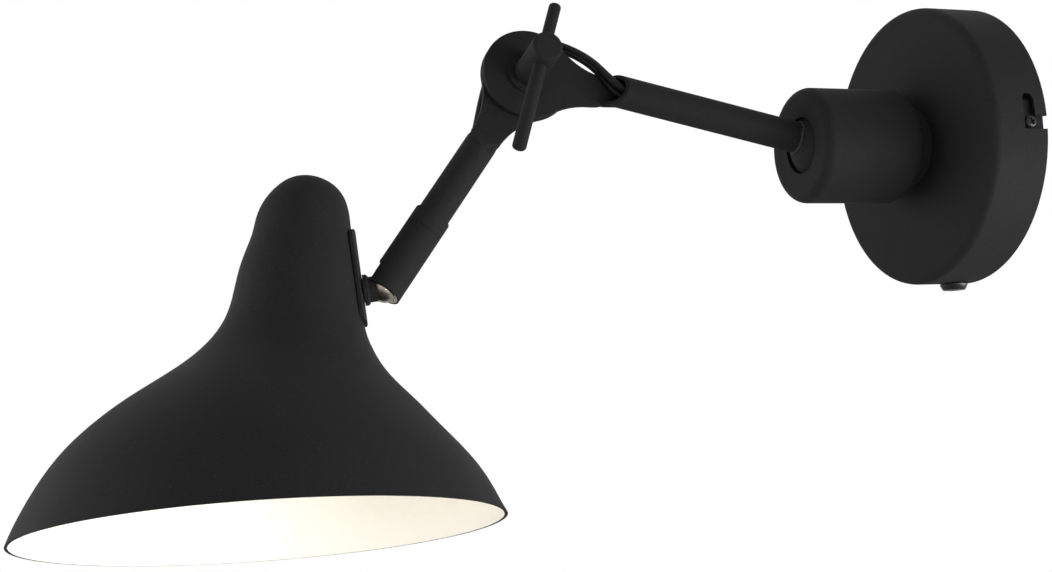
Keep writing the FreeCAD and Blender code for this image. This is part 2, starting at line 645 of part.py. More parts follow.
def friction_cup():
    """Cup that the spring presses on the back of the ball."""
    low = NECK_END + " + dims.cup_start"
    high = low + " + dims.cup_length"
    rim = "dims.socket_bore - dims.run_gap"
    body = turned("friction_cup", WALL, [("dims.cup_bore", low), (rim, low), (rim, high), ("dims.cup_bore", high)])
    primitive(body, "SubtractiveSphere", {"Radius": SEAT_RADIUS}, ("0", "0", BALL_HEIGHT))
    return body


def cup_spring():
    """Dished spring washer on the floor of the rear housing."""
    floor = NECK_END + " + dims.floor_length"
    return turned("cup_spring", WALL, [
        ("dims.disc_inner", floor), ("dims.disc_outer", floor + " + dims.disc_rise"),
        ("dims.disc_outer", floor + " + dims.disc_rise + dims.disc_sheet"),
        ("dims.disc_inner", floor + " + dims.disc_sheet")])


def swivel_ball():
    """Ball with the arm's tube seated in it from the front and a wire hole at the back."""
    body = start_body("swivel_ball", BALL)
    primitive(body, "AdditiveSphere", {"Radius": "dims.ball_radius"})
    drill(body, "dims.tube_radius + dims.run_gap", "dims.tube_insert + dims.run_gap + dims.ball_radius",
          ("0", "0", "-dims.tube_insert - dims.run_gap"))
    drill(body, "dims.ball_wire_bore", "dims.ball_radius", ("0", "0", "-dims.ball_radius"))
    return body


# ---------------------------------------------------------------- arms
def arm(label, place, end):
    """Tube whose end is flattened to a round lug.

    X runs along the tube from the elbow's axis.  The lug is the tube's lower wall,
    opened to a gutter where the flat tongue runs into the tube.
    """
    body = start_body(label, place)
    floor = ("0", "0", "-dims.tube_radius")
    pad(body, circle_sketch(body, ["dims.lug_radius"], offset=floor), "dims.lug_sheet")
    tongue = [("0", "-dims.tube_radius"), ("dims.tongue_length", "-dims.tube_radius"),
              ("dims.tongue_length", "dims.tube_radius"), ("0", "dims.tube_radius")]
    pad(body, corner_sketch(body, tongue, offset=floor), "dims.lug_sheet")
    corner_x = math.sqrt(size("lug_radius") ** 2 - size("tube_radius") ** 2)

    def inner_corner(edge):
        first, last = edge.Vertexes[0].Point, edge.Vertexes[-1].Point
        upright = abs(first.z - last.z) > 0.5 * size("lug_sheet")
        return upright and abs(first.x - corner_x) < 1e-4 and abs(last.x - corner_x) < 1e-4

    ease(body, "Fillet", "Radius", "dims.lug_blend", inner_corner)
    ring = circle_sketch(body, ["dims.tube_radius", "dims.tube_radius - dims.tube_wall"],
                         "YZ_Plane", ("0", "0", "dims.gutter_start"))
    pad(body, ring, end + " - dims.gutter_start")
    deck = "dims.lug_sheet - dims.tube_radius"
    above = "dims.tube_radius + dims.tube_wall"
    mouth = [("dims.gutter_start - dims.tube_wall", deck), ("dims.gutter_low", deck),
             ("dims.gutter_high", above), ("dims.gutter_start - dims.tube_wall", above)]
    pocket(body, corner_sketch(body, mouth, "XZ_Plane"), "4 * dims.tube_radius")
    drill(body, "dims.bolt_radius" + (" + dims.run_gap" if label == "upper_arm" else ""),
          "dims.lug_sheet", floor)
    return body


# ---------------------------------------------------------------- elbow clamp
LUG_FACE = "(dims.lug_sheet - dims.tube_radius)"
REAR_FACE = "(-dims.tube_radius - dims.elbow_washer_sheet - dims.lug_sheet)"


def elbow_washers():
    """Friction washer between the lugs, and a plain washer outside each."""
    turned("elbow_washer", ELBOW, [
        ("dims.bolt_radius", "-dims.tube_radius - dims.elbow_washer_sheet"),
        ("dims.elbow_washer_radius", "-dims.tube_radius - dims.elbow_washer_sheet"),
        ("dims.elbow_washer_radius", "-dims.tube_radius"), ("dims.bolt_radius", "-dims.tube_radius")])
    low = REAR_FACE + " - dims.clamp_washer_sheet"
    turned("rear_washer", ELBOW, [
        ("dims.bolt_radius", low), ("dims.clamp_washer", low),
        ("dims.clamp_washer", REAR_FACE), ("dims.bolt_radius", REAR_FACE)])
    hole = "dims.bolt_radius + dims.run_gap"
    high = LUG_FACE + " + dims.clamp_washer_sheet"
    turned("front_washer", ELBOW, [
        (hole, LUG_FACE), ("dims.clamp_washer", LUG_FACE), ("dims.clamp_washer", high), (hole, high)])


def pivot_bolt():
    """Bolt through both lugs, its head behind the lower arm's lug."""
    rear = -size("tube_radius") - size("elbow_washer_sheet") - size("lug_sheet") - size("clamp_washer_sheet")
    head = bound("Prism", "pivot_head", {"Circumradius": "dims.bolt_flats / 2 / cos(30 deg)",
                                         "Height": "dims.bolt_head"})
    head.Polygon = 6
    head.setExpression("Placement.Base.z", "-dims.bolt_head")
    shank = bound("Cylinder", "pivot_shank", {
        "Radius": "dims.bolt_radius",
        "Height": "dims.clamp_washer_sheet + 2 * dims.lug_sheet + dims.elbow_washer_sheet + dims.bolt_reach"})
    place = ELBOW.multiply(Placement(Vector(0, 0, rear), Rotation()))
    return keep(fuse("pivot_bolt", [head, shank]), "pivot_bolt", place)


def clamp_barrel():
    """Long nut of the elbow clamp, cross-drilled for the tommy bar."""
    low = LUG_FACE + " + dims.clamp_washer_sheet"
    top = LUG_FACE + " + dims.barrel_height"
    blind = LUG_FACE + " + dims.bolt_reach + dims.hole_gap"
    bore = "dims.bolt_radius + dims.run_gap"
    body = turned("clamp_barrel", ELBOW, [
        (bore, low), ("dims.barrel_radius", low), ("dims.barrel_radius", top), ("0", top),
        ("0", blind), (bore, blind)])
    ease(body, "Fillet", "Radius", "dims.barrel_edge",
         ring_edge(size("barrel_radius"), size("lug_sheet") - size("tube_radius") + size("barrel_height")))
    across = turn_about(Z_AXIS, size("bar_angle")).multiply(turn_about(Y_AXIS, 90))
    back = "-2 * dims.barrel_radius * "
    drill(body, "dims.bar_radius", "4 * dims.barrel_radius", (
        back + "cos(dims.bar_angle * 1 deg)", back + "sin(dims.bar_angle * 1 deg)",
        LUG_FACE + " + dims.bar_height"), across)
    return body


def tommy_bar():
    """Bar through the barrel, longer and thicker on the lower side."""
    height = size("lug_sheet") - size("tube_radius") + size("bar_height")
    across = turn_about(Z_AXIS, size("bar_angle")).multiply(turn_about(Y_AXIS, 90))
    # The bar's Z axis points to its short end.
    place = ELBOW.multiply(Placement(Vector(0, 0, height), across))
    # The upper arm's frame runs out along the arm, so the short end lies on its far side.
    place = place.multiply(Placement(Vector(0, 0, 0), turn_about(X_AXIS, 180)))
    body = turned("tommy_bar", place, [
        ("0", "-dims.bar_long"), ("dims.bar_grip", "-dims.bar_long"),
        ("dims.bar_grip", "-dims.barrel_radius"), ("dims.bar_radius", "-dims.barrel_radius"),
        ("dims.bar_radius", "dims.bar_short"), ("0", "dims.bar_short")])
    for radius, end in (("bar_grip", -size("bar_long")), ("bar_radius", size("bar_short"))):
        ease(body, "Fillet", "Radius", "dims.bar_edge", ring_edge(size(radius), end))
    return body


# ---------------------------------------------------------------- swivel sleeve
COLLAR_END = "(dims.lower_length - dims.sleeve_reach - dims.seam_gap)"


def arm_collar():
    """Collar pressed on the lower tube, with the spindle that the sleeve turns on."""
    floor = COLLAR_END + " - dims.collar_floor"
    tip = COLLAR_END + " + dims.spindle_length"
    start = COLLAR_END + " - dims.collar_length"
    body = turned("arm_collar", COLLAR, [
        ("dims.tube_radius", start), ("dims.sleeve_radius", start),
        ("dims.sleeve_radius", COLLAR_END), ("dims.spindle_radius", COLLAR_END),
        ("dims.spindle_radius", tip), ("dims.spindle_bore", tip),
        ("dims.spindle_bore", floor), ("dims.tube_radius", floor)])
    behind = size("sleeve_reach") + size("seam_gap") + size("collar_length")
    ease(body, "Chamfer", "Size", "dims.collar_edge",
         ring_edge(size("sleeve_radius"), size("lower_length") - behind))
    return body


def spindle_clip():
    low = COLLAR_END + " + dims.seam_gap + dims.web_length + dims.seam_gap"
    high = low + " + dims.clip_sheet"
    return turned("spindle_clip", COLLAR, [
        ("dims.spindle_radius", low), ("dims.clip_radius", low),
        ("dims.clip_radius", high), ("dims.spindle_radius", high)])


SLEEVE_START = "(-dims.sleeve_reach)"
BUSH_START = "(dims.sleeve_past - dims.bush_length)"
STUD_SEAT = "dims.stud_ball + dims.run_gap"
STUD_HOLE = "dims.thread_radius + dims.run_gap"


def notch(body):
    """Side notch that lets the stud lean over; it opens at the sleeve's end."""
    sizes = {"Length": "dims.notch_width", "Width": "2 * dims.sleeve_radius",
             "Height": "dims.notch_back + 2 * dims.sleeve_past"}
    primitive(body, "SubtractiveBox", sizes, ("-dims.notch_width / 2", "0", "-dims.notch_back"))


def swivel_sleeve():
    bearing = "dims.spindle_radius + dims.run_gap"
    web_end = SLEEVE_START + " + dims.web_length"
    body = turned("swivel_sleeve", SLEEVE, [
        (bearing, SLEEVE_START), ("dims.sleeve_radius", SLEEVE_START),
        ("dims.sleeve_radius", "dims.sleeve_past"), ("dims.sleeve_bore", "dims.sleeve_past"),
        ("dims.sleeve_bore", web_end), (bearing, web_end)])
    notch(body)
    return body


def ball_bush():
    """Bright bush in the sleeve's end; its spherical mouth keeps the stud's ball in."""
    body = turned("ball_bush", SLEEVE, [
        ("0", BUSH_START), ("dims.sleeve_bore", BUSH_START),
        ("dims.sleeve_bore", "dims.sleeve_past"), ("0", "dims.sleeve_past")])
    drill(body, STUD_SEAT, "dims.bush_length", ("0", "0", "-dims.bush_length"))
    primitive(body, "SubtractiveSphere", {"Radius": STUD_SEAT})
    notch(body)
    return body


def ball_seat():
    """Plug that presses on the ball from behind."""
    high = BUSH_START + " - dims.hole_gap"
    low = high + " - dims.seat_length"
    rim = "dims.sleeve_bore - dims.run_gap"
    body = turned("ball_seat", SLEEVE, [("dims.seat_bore", low), (rim, low), (rim, high), ("dims.seat_bore", high)])
    primitive(body, "SubtractiveSphere", {"Radius": STUD_SEAT})
    return body


def seat_spring():
    """Dished washer behind the ball seat."""
    high = BUSH_START + " - dims.hole_gap - dims.seat_length"
    inner = "dims.seat_bore + dims.wave_sheet"
    outer = "dims.sleeve_bore - 2 * dims.wave_sheet"
    return turned("seat_spring", SLEEVE, [
        (inner, high + " - dims.wave_sheet"), (outer, high + " - dims.wave_rise - dims.wave_sheet"),
        (outer, high + " - dims.wave_rise"), (inner, high)])


def ball_stud():
    """Ball, stem and threaded end in one turned piece, drilled through for the wires."""
    start = "dims.stud_ball / 2"
    body = turned("ball_stud", STUD, [
        ("0", start), ("dims.stem_radius", start), ("dims.stem_radius", "dims.stem_length"),
        ("dims.thread_radius", "dims.stem_length"), ("dims.thread_radius", "dims.thread_end"),
        ("0", "dims.thread_end")])
    primitive(body, "AdditiveSphere", {"Radius": "dims.stud_ball"})
    drill(body, "dims.stud_bore", "dims.thread_end + dims.stud_ball", ("0", "0", "-dims.stud_ball"))
    return body


def stud_flange():
    high = "dims.plate_distance - dims.plate_gap"
    body = turned("stud_flange", STUD, [
        (STUD_HOLE, "dims.stem_length"), ("dims.flange_radius", "dims.stem_length"),
        ("dims.flange_radius", high), (STUD_HOLE, high)])
    ease(body, "Chamfer", "Size", "dims.flange_edge", ring_edge(size("flange_radius"), size("stem_length")))
    return body


def stud_nut():
    start = knuckle_stand + size("shade_wall") + size("foot_gap") + size("strip_sheet") + size("hole_gap")
    place = STUD.multiply(Placement(Vector(0, 0, start), Rotation()))
    return hex_nut("stud_nut", place, "dims.stud_nut_flats", "dims.stud_nut_height", STUD_HOLE)


# ---------------------------------------------------------------- shade
def back_wall(section, back):
    """Level of the back wall at a section; the neck's sections lie on its straight line."""
    if back is not None:
        return "dims.shade_%s_back" % section
    rise = "(dims.shade_upper_height - dims.shade_%s_height)" % section
    return "(dims.neck_back + %s * tan(dims.neck_lean * 1 deg))" % rise


def shade_loft(name, inner):
    """Loft through level circles, each set by its front and back wall."""
    circles = []
    for section, _height, _front, back in SHADE_SECTIONS:
        prefix = "dims.shade_" + section
        rear = back_wall(section, back)
        circle = doc.addObject("Part::Circle", name + "_" + section)
        radius = "(%s - %s_front) / 2" % (rear, prefix)
        height = prefix + "_height"
        if inner:
            radius += " - dims.shade_wall"
            height += " - dims.shade_drop"
        circle.setExpression("Radius", radius)
        circle.setExpression("Placement.Base.x", "(%s + %s_front) / 2" % (rear, prefix))
        circle.setExpression("Placement.Base.z", height)
        circles.append(circle)
    loft = doc.addObject("Part::Loft", name)
    loft.Sections = circles
    loft.Solid = True
    loft.Ruled = False
    return loft


def shade():
    """Spun shade: nearly round bell, with a neck that stands off centre towards the wall."""
    shell = combine("Cut", "shade_shell", shade_loft("shade_outer", False), shade_loft("shade_inner", True))
    hole = bound("Cylinder", "shade_stud_hole", {"Radius": STUD_HOLE, "Height": "4 * dims.plate_sheet"})
    lean = turn_about(Y_AXIS, -90).multiply(turn_about(Y_AXIS, -size("neck_lean")))
    inwards = lean.multVec(Z_AXIS)
    hole.Placement = Placement(knuckle_in_shade + inwards * size("plate_distance"), lean)
    return keep(combine("Cut", "shade", shell, hole), "shade", SHADE)


def saddle_plate():
    """Curved plate between the stud's flange and the neck."""
    curve = "((%s - dims.shade_neck_front) / 2)" % back_wall("neck", None)
    middle = "dims.plate_distance + dims.plate_sheet + " + curve
    tall = "dims.plate_above + dims.plate_below"
    outer = bound("Cylinder", "saddle_outer", {"Radius": curve + " + dims.plate_sheet", "Height": tall})
    inner = bound("Cylinder", "saddle_inner", {"Radius": curve, "Height": tall})
    for cylinder in (outer, inner):
        cylinder.setExpression("Placement.Base.x", middle)
        cylinder.setExpression("Placement.Base.z", "-dims.plate_below")
    blank = bound("Box", "saddle_blank", {"Length": "dims.plate_width / 2 + dims.plate_distance",
                                          "Width": "dims.plate_width", "Height": tall})
    blank.setExpression("Placement.Base.y", "-dims.plate_width / 2")
    blank.setExpression("Placement.Base.z", "-dims.plate_below")
    doc.recompute()
    rounded = doc.addObject("Part::Fillet", "saddle_corners")
    rounded.Base = blank
    lying = [i + 1 for i, edge in enumerate(blank.Shape.Edges)
             if abs(edge.Vertexes[0].X - edge.Vertexes[-1].X) > size("plate_sheet")]
    rounded.Edges = [(number, size("plate_corner"), size("plate_corner")) for number in lying]
    curved = combine("Common", "saddle_curved", combine("Cut", "saddle_shell", outer, inner), rounded)
    hole = bound("Cylinder", "saddle_hole", {"Radius": STUD_HOLE, "Height": "3 * dims.plate_distance"},
                 Placement(Vector(0, 0, 0), turn_about(Y_AXIS, 90)))
    return keep(combine("Cut", "saddle_plate", curved, hole), "saddle_plate", NECK)


# ---------------------------------------------------------------- lampholder and lamp
FOOT = "(dims.plate_distance + dims.plate_sheet + dims.plate_rest + dims.shade_wall + dims.foot_gap)"


def holder_bracket():
    """Bent strip: foot under the stud nut, joggle, and an arm over the lampholder."""
    body = start_body("holder_bracket", NECK)
    foot_in = FOOT + " + dims.strip_sheet"
    step_out = FOOT + " + dims.strip_step"
    step_in = step_out + " + dims.strip_sheet"
    knee = "dims.foot_reach + dims.strip_step"
    top = "dims.holder_top + dims.strip_sheet"
    strip = [(FOOT, "-dims.foot_reach"), (foot_in, "-dims.foot_reach"), (foot_in, "dims.foot_reach"),
             (step_in, knee), (step_in, "dims.holder_top"), ("dims.strip_reach", "dims.holder_top"),
             ("dims.strip_reach", top), (step_out, top), (step_out, knee), (FOOT, "dims.foot_reach")]
    pad(body, corner_sketch(body, strip, "XZ_Plane"), "dims.strip_width", symmetric=True)
    drill(body, STUD_HOLE, "2 * dims.strip_sheet", (FOOT + " - dims.strip_sheet / 2", "0", "0"),
          turn_about(Y_AXIS, 90))
    drill(body, "dims.stub_radius", "3 * dims.strip_sheet",
          ("dims.holder_axis", "0", "dims.holder_top - dims.strip_sheet"))
    return body


HOLDER_END = "(dims.holder_top - dims.holder_length)"
SOCKET_TOP = "(" + HOLDER_END + " + dims.holder_depth)"


def lampholder():
    """Small screw lampholder, its threaded stub through the bracket's arm."""
    stub = "dims.holder_top + dims.stub_length"
    return turned("lampholder", LAMP, [
        ("dims.stub_bore", stub), ("dims.stub_radius", stub), ("dims.stub_radius", "dims.holder_top"),
        ("dims.holder_crown", "dims.holder_top"), ("dims.holder_radius", "dims.holder_top - dims.holder_shoulder"),
        ("dims.holder_radius", HOLDER_END), ("dims.holder_bore", HOLDER_END),
        ("dims.holder_bore", SOCKET_TOP), ("dims.stub_bore", SOCKET_TOP)])


def holder_nut():
    place = LAMP.multiply(Placement(Vector(0, 0, size("holder_top") + size("strip_sheet")), Rotation()))
    return hex_nut("holder_nut", place, "dims.holder_nut_flats", "dims.holder_nut_height", "dims.stub_radius")


def holder_contact():
    low = SOCKET_TOP + " - dims.contact_sheet"
    return turned("holder_contact", LAMP, [
        ("0", low), ("dims.contact_radius", low), ("dims.contact_radius", SOCKET_TOP), ("0", SOCKET_TOP)])


CAP_TIP = "(" + SOCKET_TOP + " - dims.contact_sheet - dims.hole_gap)"
CAP_END = "(" + CAP_TIP + " - dims.cap_length)"


def lamp_cap():
    """Screw cap of the lamp, with its insulated tip."""
    collar = CAP_END + " + dims.cap_flange_length"
    shoulder = CAP_TIP + " - 2 * dims.cap_tip"
    return turned("lamp_cap", LAMP, [
        ("0", CAP_END), ("dims.cap_flange", CAP_END), ("dims.cap_radius", collar),
        ("dims.cap_radius", shoulder), ("dims.cap_tip", CAP_TIP + " - dims.contact_sheet"),
        ("dims.cap_tip", CAP_TIP), ("0", CAP_TIP)])


def lamp_glass():
    """Round glass of the lamp: a ball and a cone up to the cap."""
    body = start_body("lamp_glass", LAMP)
    centre = "(" + CAP_TIP + " - dims.lamp_length + dims.glass_radius)"
    cone_start = centre + " + dims.glass_shoulder"
    cone = CAP_END + " - (" + cone_start + ")"
    wide = "sqrt(dims.glass_radius^2 - dims.glass_shoulder^2)"
    primitive(body, "AdditiveSphere", {"Radius": "dims.glass_radius"}, ("0", "0", centre))
    primitive(body, "AdditiveCone", {"Radius1": wide, "Radius2": "dims.cap_flange", "Height": cone},
              ("0", "0", cone_start))
    primitive(body, "SubtractiveSphere", {"Radius": "dims.glass_radius - dims.glass_wall"}, ("0", "0", centre))
    primitive(body, "SubtractiveCone", {"Radius1": wide + " - dims.glass_wall",
                                        "Radius2": "dims.cap_flange - dims.glass_wall", "Height": cone},
              ("0", "0", cone_start))
    return body


# ---------------------------------------------------------------- lead at the elbow
# Routes in the elbow's frame, turned half a turn so that X runs back along the upper tube:
# out of its mouth, round the lugs' edge and behind them, then into the lower tube's mouth.
LEAD_ROUTE = [
    (53, -0.4, 0.4), (45, -0.2, 0.9), (37.8, 0, 1.2), (31.2, 0.9, 1.4), (26.4, 5, 0), (20.8, 10.6, -2.9),
    (13.5, 14.7, -6.3), (4.8, 17, -9.6), (-3.2, 16, -13), (-8.6, 10.6, -15.5), (-11.2, 2.6, -15.8),
    (-12.2, -6.3, -15.8), (-12.7, -15.2, -15.2), (-13.2, -24, -14), (-14.9, -32.8, -12.6), (-17.9, -41, -11.8),
]
# The thinner strand lies beside it, nearer the lugs.
STRAND_ROUTE = [
    (52.8, -2.3, -1.2), (44.8, -2.1, -0.8), (37.2, -1.9, -0.5), (30.8, -1.3, -0.2), (25.4, 2.7, -1),
    (20, 8.3, -3.1), (12.8, 12.6, -8.2), (4.5, 15, -11.6), (-2.4, 14.2, -15), (-6.8, 9.2, -17.2), (-9, 2, -17.8),
    (-10, -6.6, -17.2), (-10.7, -15.6, -16.6), (-11.3, -24.6, -15.7), (-13, -33.3, -14.1), (-15.9, -41.4, -13.4),
]


def lead_path(route):
    """Straight runs joined by tangent arcs; each arc is as large as its two runs allow."""
    points = [Vector(*spot) for spot in route]
    edges = []
    radii = []
    start = points[0]
    for before, corner, after in zip(points, points[1:], points[2:]):
        back = before - corner
        ahead = after - corner
        turn = math.pi - back.getAngle(ahead)
        setback = 0.45 * min(back.Length, ahead.Length)
        radii.append(setback / math.tan(turn / 2))
        enter = corner + back.normalize() * setback
        leave = corner + ahead.normalize() * setback
        middle_way = (back + ahead).normalize()
        centre = corner + middle_way * (radii[-1] / math.cos(turn / 2))
        middle = centre - middle_way * radii[-1]
        edges.append(Part.LineSegment(start, enter).toShape())
        edges.append(Part.Arc(enter, middle, leave).toShape())
        start = leave
    edges.append(Part.LineSegment(start, points[-1]).toShape())
    return Part.Wire(edges), radii


def strand(label, route, radius):
    """One strand of the lead, swept along its route."""
    wire, radii = lead_path(route)
    first = wire.Edges[0]
    section = Part.Wire(Part.Circle(first.valueAt(first.FirstParameter),
                                    first.tangentAt(first.FirstParameter), radius).toShape())
    tube = wire.makePipeShell([section], True, False)
    expected = math.pi * radius ** 2 * wire.Length
    print("%s length %.1f volume %.1f of %.1f tightest %.1f"
          % (label, wire.Length, tube.Volume, expected, min(radii)))
    obj = doc.addObject("Part::Feature", label)
    obj.Shape = tube
    return keep(obj, label, UPPER_ARM)


# ---------------------------------------------------------------- build
wall_bracket()
rose_cover()
rim_screws()
terminal_block()
terminal_screws()
earth_screw()
nipple()
nipple_washer_and_nut()
socket_rear()
socket_front()
friction_cup()
cup_spring()
swivel_ball()
arm("upper_arm", UPPER_ARM, "dims.upper_length + dims.tube_insert")
arm("lower_arm", LOWER_ARM, COLLAR_END + " - dims.collar_floor")
elbow_washers()
pivot_bolt()
clamp_barrel()
tommy_bar()
arm_collar()
spindle_clip()
swivel_sleeve()
ball_bush()
ball_seat()
seat_spring()
ball_stud()
stud_flange()
stud_nut()
shade()
saddle_plate()
holder_bracket()
lampholder()
holder_nut()
holder_contact()
lamp_cap()
lamp_glass()
strand("elbow_lead", LEAD_ROUTE, size("lead_radius"))
strand("elbow_strand", STRAND_ROUTE, size("strand_radius"))
doc.recompute()

# ---------------------------------------------------------------- check and write
for item in doc.Objects:
    if "Invalid" in item.State or "Error" in item.State:
        raise RuntimeError("%s is %s" % (item.Name, item.State))
for piece in PIECES:
    if piece.Shape.isNull() or not piece.Shape.isValid() or not piece.Shape.Solids:
        raise RuntimeError("%s has no valid solid" % piece.Label)

os.makedirs("parts", exist_ok=True)
for piece in PIECES:
    piece.Shape.exportStep("parts/%s.step" % piece.Label)
for name, spot in (("ball", ball_centre), ("elbow", elbow_centre), ("lower start", lower_start),
                   ("knuckle", knuckle_centre), ("rim centre", SHADE.Base)):
    print("%-12s %8.3f %8.3f %8.3f" % (name, spot.x, spot.y, spot.z))
print("knuckle in the shade %.4f %.4f" % (knuckle_in_shade.x, knuckle_in_shade.z))
print("%d pieces" % len(PIECES))
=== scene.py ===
# %% [markdown]
# # Articulating wall lamp
# A small adjustable wall light: a round rose on the wall, a ball socket, two arm tubes with a clamped elbow, a
# swivelling sleeve and a spun shade. Its parts come from the CAD model. This lesson gives them their finishes and
# adds what CAD leaves out: the two strands of the lead, the drawn-in ends of the tubes, the weld where the arm
# meets its ball, the drive slots of the screws and dark plates of painted shade behind the slots of the rose.

# %% Load the model
import bpy
import json
import math
from mathutils import Matrix, Vector


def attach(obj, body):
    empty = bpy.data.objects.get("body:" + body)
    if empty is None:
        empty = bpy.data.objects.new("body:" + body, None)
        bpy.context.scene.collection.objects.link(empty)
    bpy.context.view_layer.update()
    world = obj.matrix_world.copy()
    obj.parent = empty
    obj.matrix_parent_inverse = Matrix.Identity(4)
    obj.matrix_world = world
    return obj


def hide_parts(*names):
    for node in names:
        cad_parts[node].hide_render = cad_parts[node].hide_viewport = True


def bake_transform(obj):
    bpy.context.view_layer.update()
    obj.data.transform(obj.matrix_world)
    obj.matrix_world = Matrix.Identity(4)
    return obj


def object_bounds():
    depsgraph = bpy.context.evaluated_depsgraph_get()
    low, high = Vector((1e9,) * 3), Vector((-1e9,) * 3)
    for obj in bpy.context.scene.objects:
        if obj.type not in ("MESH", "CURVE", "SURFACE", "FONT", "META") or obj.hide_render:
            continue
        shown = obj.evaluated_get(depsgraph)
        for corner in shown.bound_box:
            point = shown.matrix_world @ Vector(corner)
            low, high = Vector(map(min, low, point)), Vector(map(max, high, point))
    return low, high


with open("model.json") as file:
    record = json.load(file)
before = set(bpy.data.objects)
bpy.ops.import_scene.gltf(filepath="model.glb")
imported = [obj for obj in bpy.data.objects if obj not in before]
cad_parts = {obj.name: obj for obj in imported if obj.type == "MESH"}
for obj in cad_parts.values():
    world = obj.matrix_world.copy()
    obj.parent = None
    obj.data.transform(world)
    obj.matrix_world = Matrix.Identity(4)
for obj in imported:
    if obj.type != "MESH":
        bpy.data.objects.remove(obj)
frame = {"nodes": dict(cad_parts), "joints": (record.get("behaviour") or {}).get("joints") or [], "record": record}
nodes = frame["nodes"]
bpy.context.scene.view_settings.view_transform = "Standard"
cad_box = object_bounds()
print("CAD parts:", len(nodes))
print("CAD box in mm:", [[round(value * 1000, 1) for value in corner] for corner in cad_box])

# %% [markdown]
# ## Units and the arm's own frame
# Blender works in metres here and the drawing of the lamp in millimetres, so one small function
# converts. The elbow is drawn in the upper arm's own directions: X back along the tube, Z along
# the elbow's bolt. The joints of the model give both, so nothing is typed twice.

# %% Units and directions
MM = 0.001
joints = {joint["name"]: joint for joint in frame["joints"]}


def mm(*values):
    """A point given in millimetres, as a vector in metres."""
    return Vector(values) * MM


elbow_centre = Vector(joints["elbow"]["pos_m"])
elbow_axis = Vector(joints["elbow"]["axis"]).normalized()
arm_axis = Vector(joints["arm_twist"]["axis"]).normalized()
ball_centre = Vector(joints["arm_twist"]["pos_m"])
back_along = -arm_axis
across_arm = elbow_axis.cross(back_along)
from_elbow = Matrix((back_along, across_arm, elbow_axis)).transposed()
print("elbow", elbow_centre, "ball", ball_centre)

# %% [markdown]
# ## The camera
# A product photographer stands to the right of the lamp and a little below it. The camera is set
# first, so that everything after it can be judged in the picture. Its place and its three
# directions were worked out from the ellipses of the rose and of the shade's rim. The lens comes
# from the same sum: a focal length of 1652 pixels on a picture 1052 pixels wide.

# %% Camera
camera_data = bpy.data.cameras.new("camera")
camera = bpy.data.objects.new("camera", camera_data)
bpy.context.scene.collection.objects.link(camera)
right = Vector((0.3525, 0.9344, -0.0509))
up = Vector((0.0980, 0.0173, 0.9951))
back = right.cross(up).normalized()
right = up.cross(back).normalized()
up = back.cross(right)
facing = Matrix((right, up, back)).transposed().to_4x4()
camera.matrix_world = Matrix.Translation(mm(504.49, -366.14, -94.34)) @ facing
sensor_mm, focal_pixels, picture_pixels = 36, 1652.4, 1052
camera_data.sensor_width = sensor_mm
camera_data.lens = sensor_mm * focal_pixels / picture_pixels
bpy.context.scene.camera = camera
print("camera at", camera.location, "lens", round(camera_data.lens, 2), "mm")

# %% [markdown]
# ## A helper for materials
# Every finish below is a small tree of shader nodes. One function adds a node: plain values are
# written on its sockets and sockets are linked. Another turns a hex colour, as a paint chart
# gives it, to the linear values that Blender mixes with. The scale of a pattern is worked out
# from its real size, because a texture's scale is the number of its features in one metre.

# %% Material helpers
def linear(hex_colour):
    """An sRGB hex colour as linear red, green, blue and alpha."""
    values = [int(hex_colour[i:i + 2], 16) / 255 for i in (1, 3, 5)]
    return [v / 12.92 if v <= 0.04045 else ((v + 0.055) / 1.055) ** 2.4 for v in values] + [1.0]


def per_metre(size_mm):
    """Texture scale for a pattern whose features are this many millimetres apart."""
    return 1000.0 / size_mm


def add_node(material, kind, sockets=None, **settings):
    """Add one node; sockets maps an input's name or number to a value or to another socket."""
    node = material.node_tree.nodes.new(kind)
    for name, value in settings.items():
        setattr(node, name, value)
    for name, value in (sockets or {}).items():
        if isinstance(value, bpy.types.NodeSocket):
            material.node_tree.links.new(value, node.inputs[name])
        else:
            node.inputs[name].default_value = value
    return node


def new_material(name, colour, roughness, **shader_values):
    """A Principled material whose constants sit on the shader itself."""
    material = bpy.data.materials.new(name)
    material.use_nodes = True
    shader = material.node_tree.nodes["Principled BSDF"]
    shader.inputs["Base Color"].default_value = linear(colour)
    shader.inputs["Roughness"].default_value = roughness
    for label, value in shader_values.items():
        shader.inputs[label.replace("_", " ")].default_value = value
    return material, shader


def feed(material, shader, label, socket):
    """Link a socket to one of the shader's inputs."""
    material.node_tree.links.new(socket, shader.inputs[label])


print("black #1e1e1e is", [round(v, 4) for v in linear("#1e1e1e")[:3]])

# %% [markdown]
# ## Matt black powder coat
# Powder coat is a dry plastic powder, sprayed on the metal and baked until it flows. It flows
# only so far, so the skin keeps a fine, even grain, which is what scatters the light and makes it
# look soft. The real grain is about 0.15 mm; it is drawn at 0.45 mm so that it shows in the
# picture. A slow change of tone, some centimetres wide, comes from the coat's thickness. The coat
# is dead matt: its specular level is low, so that a white room doesn't veil the black.

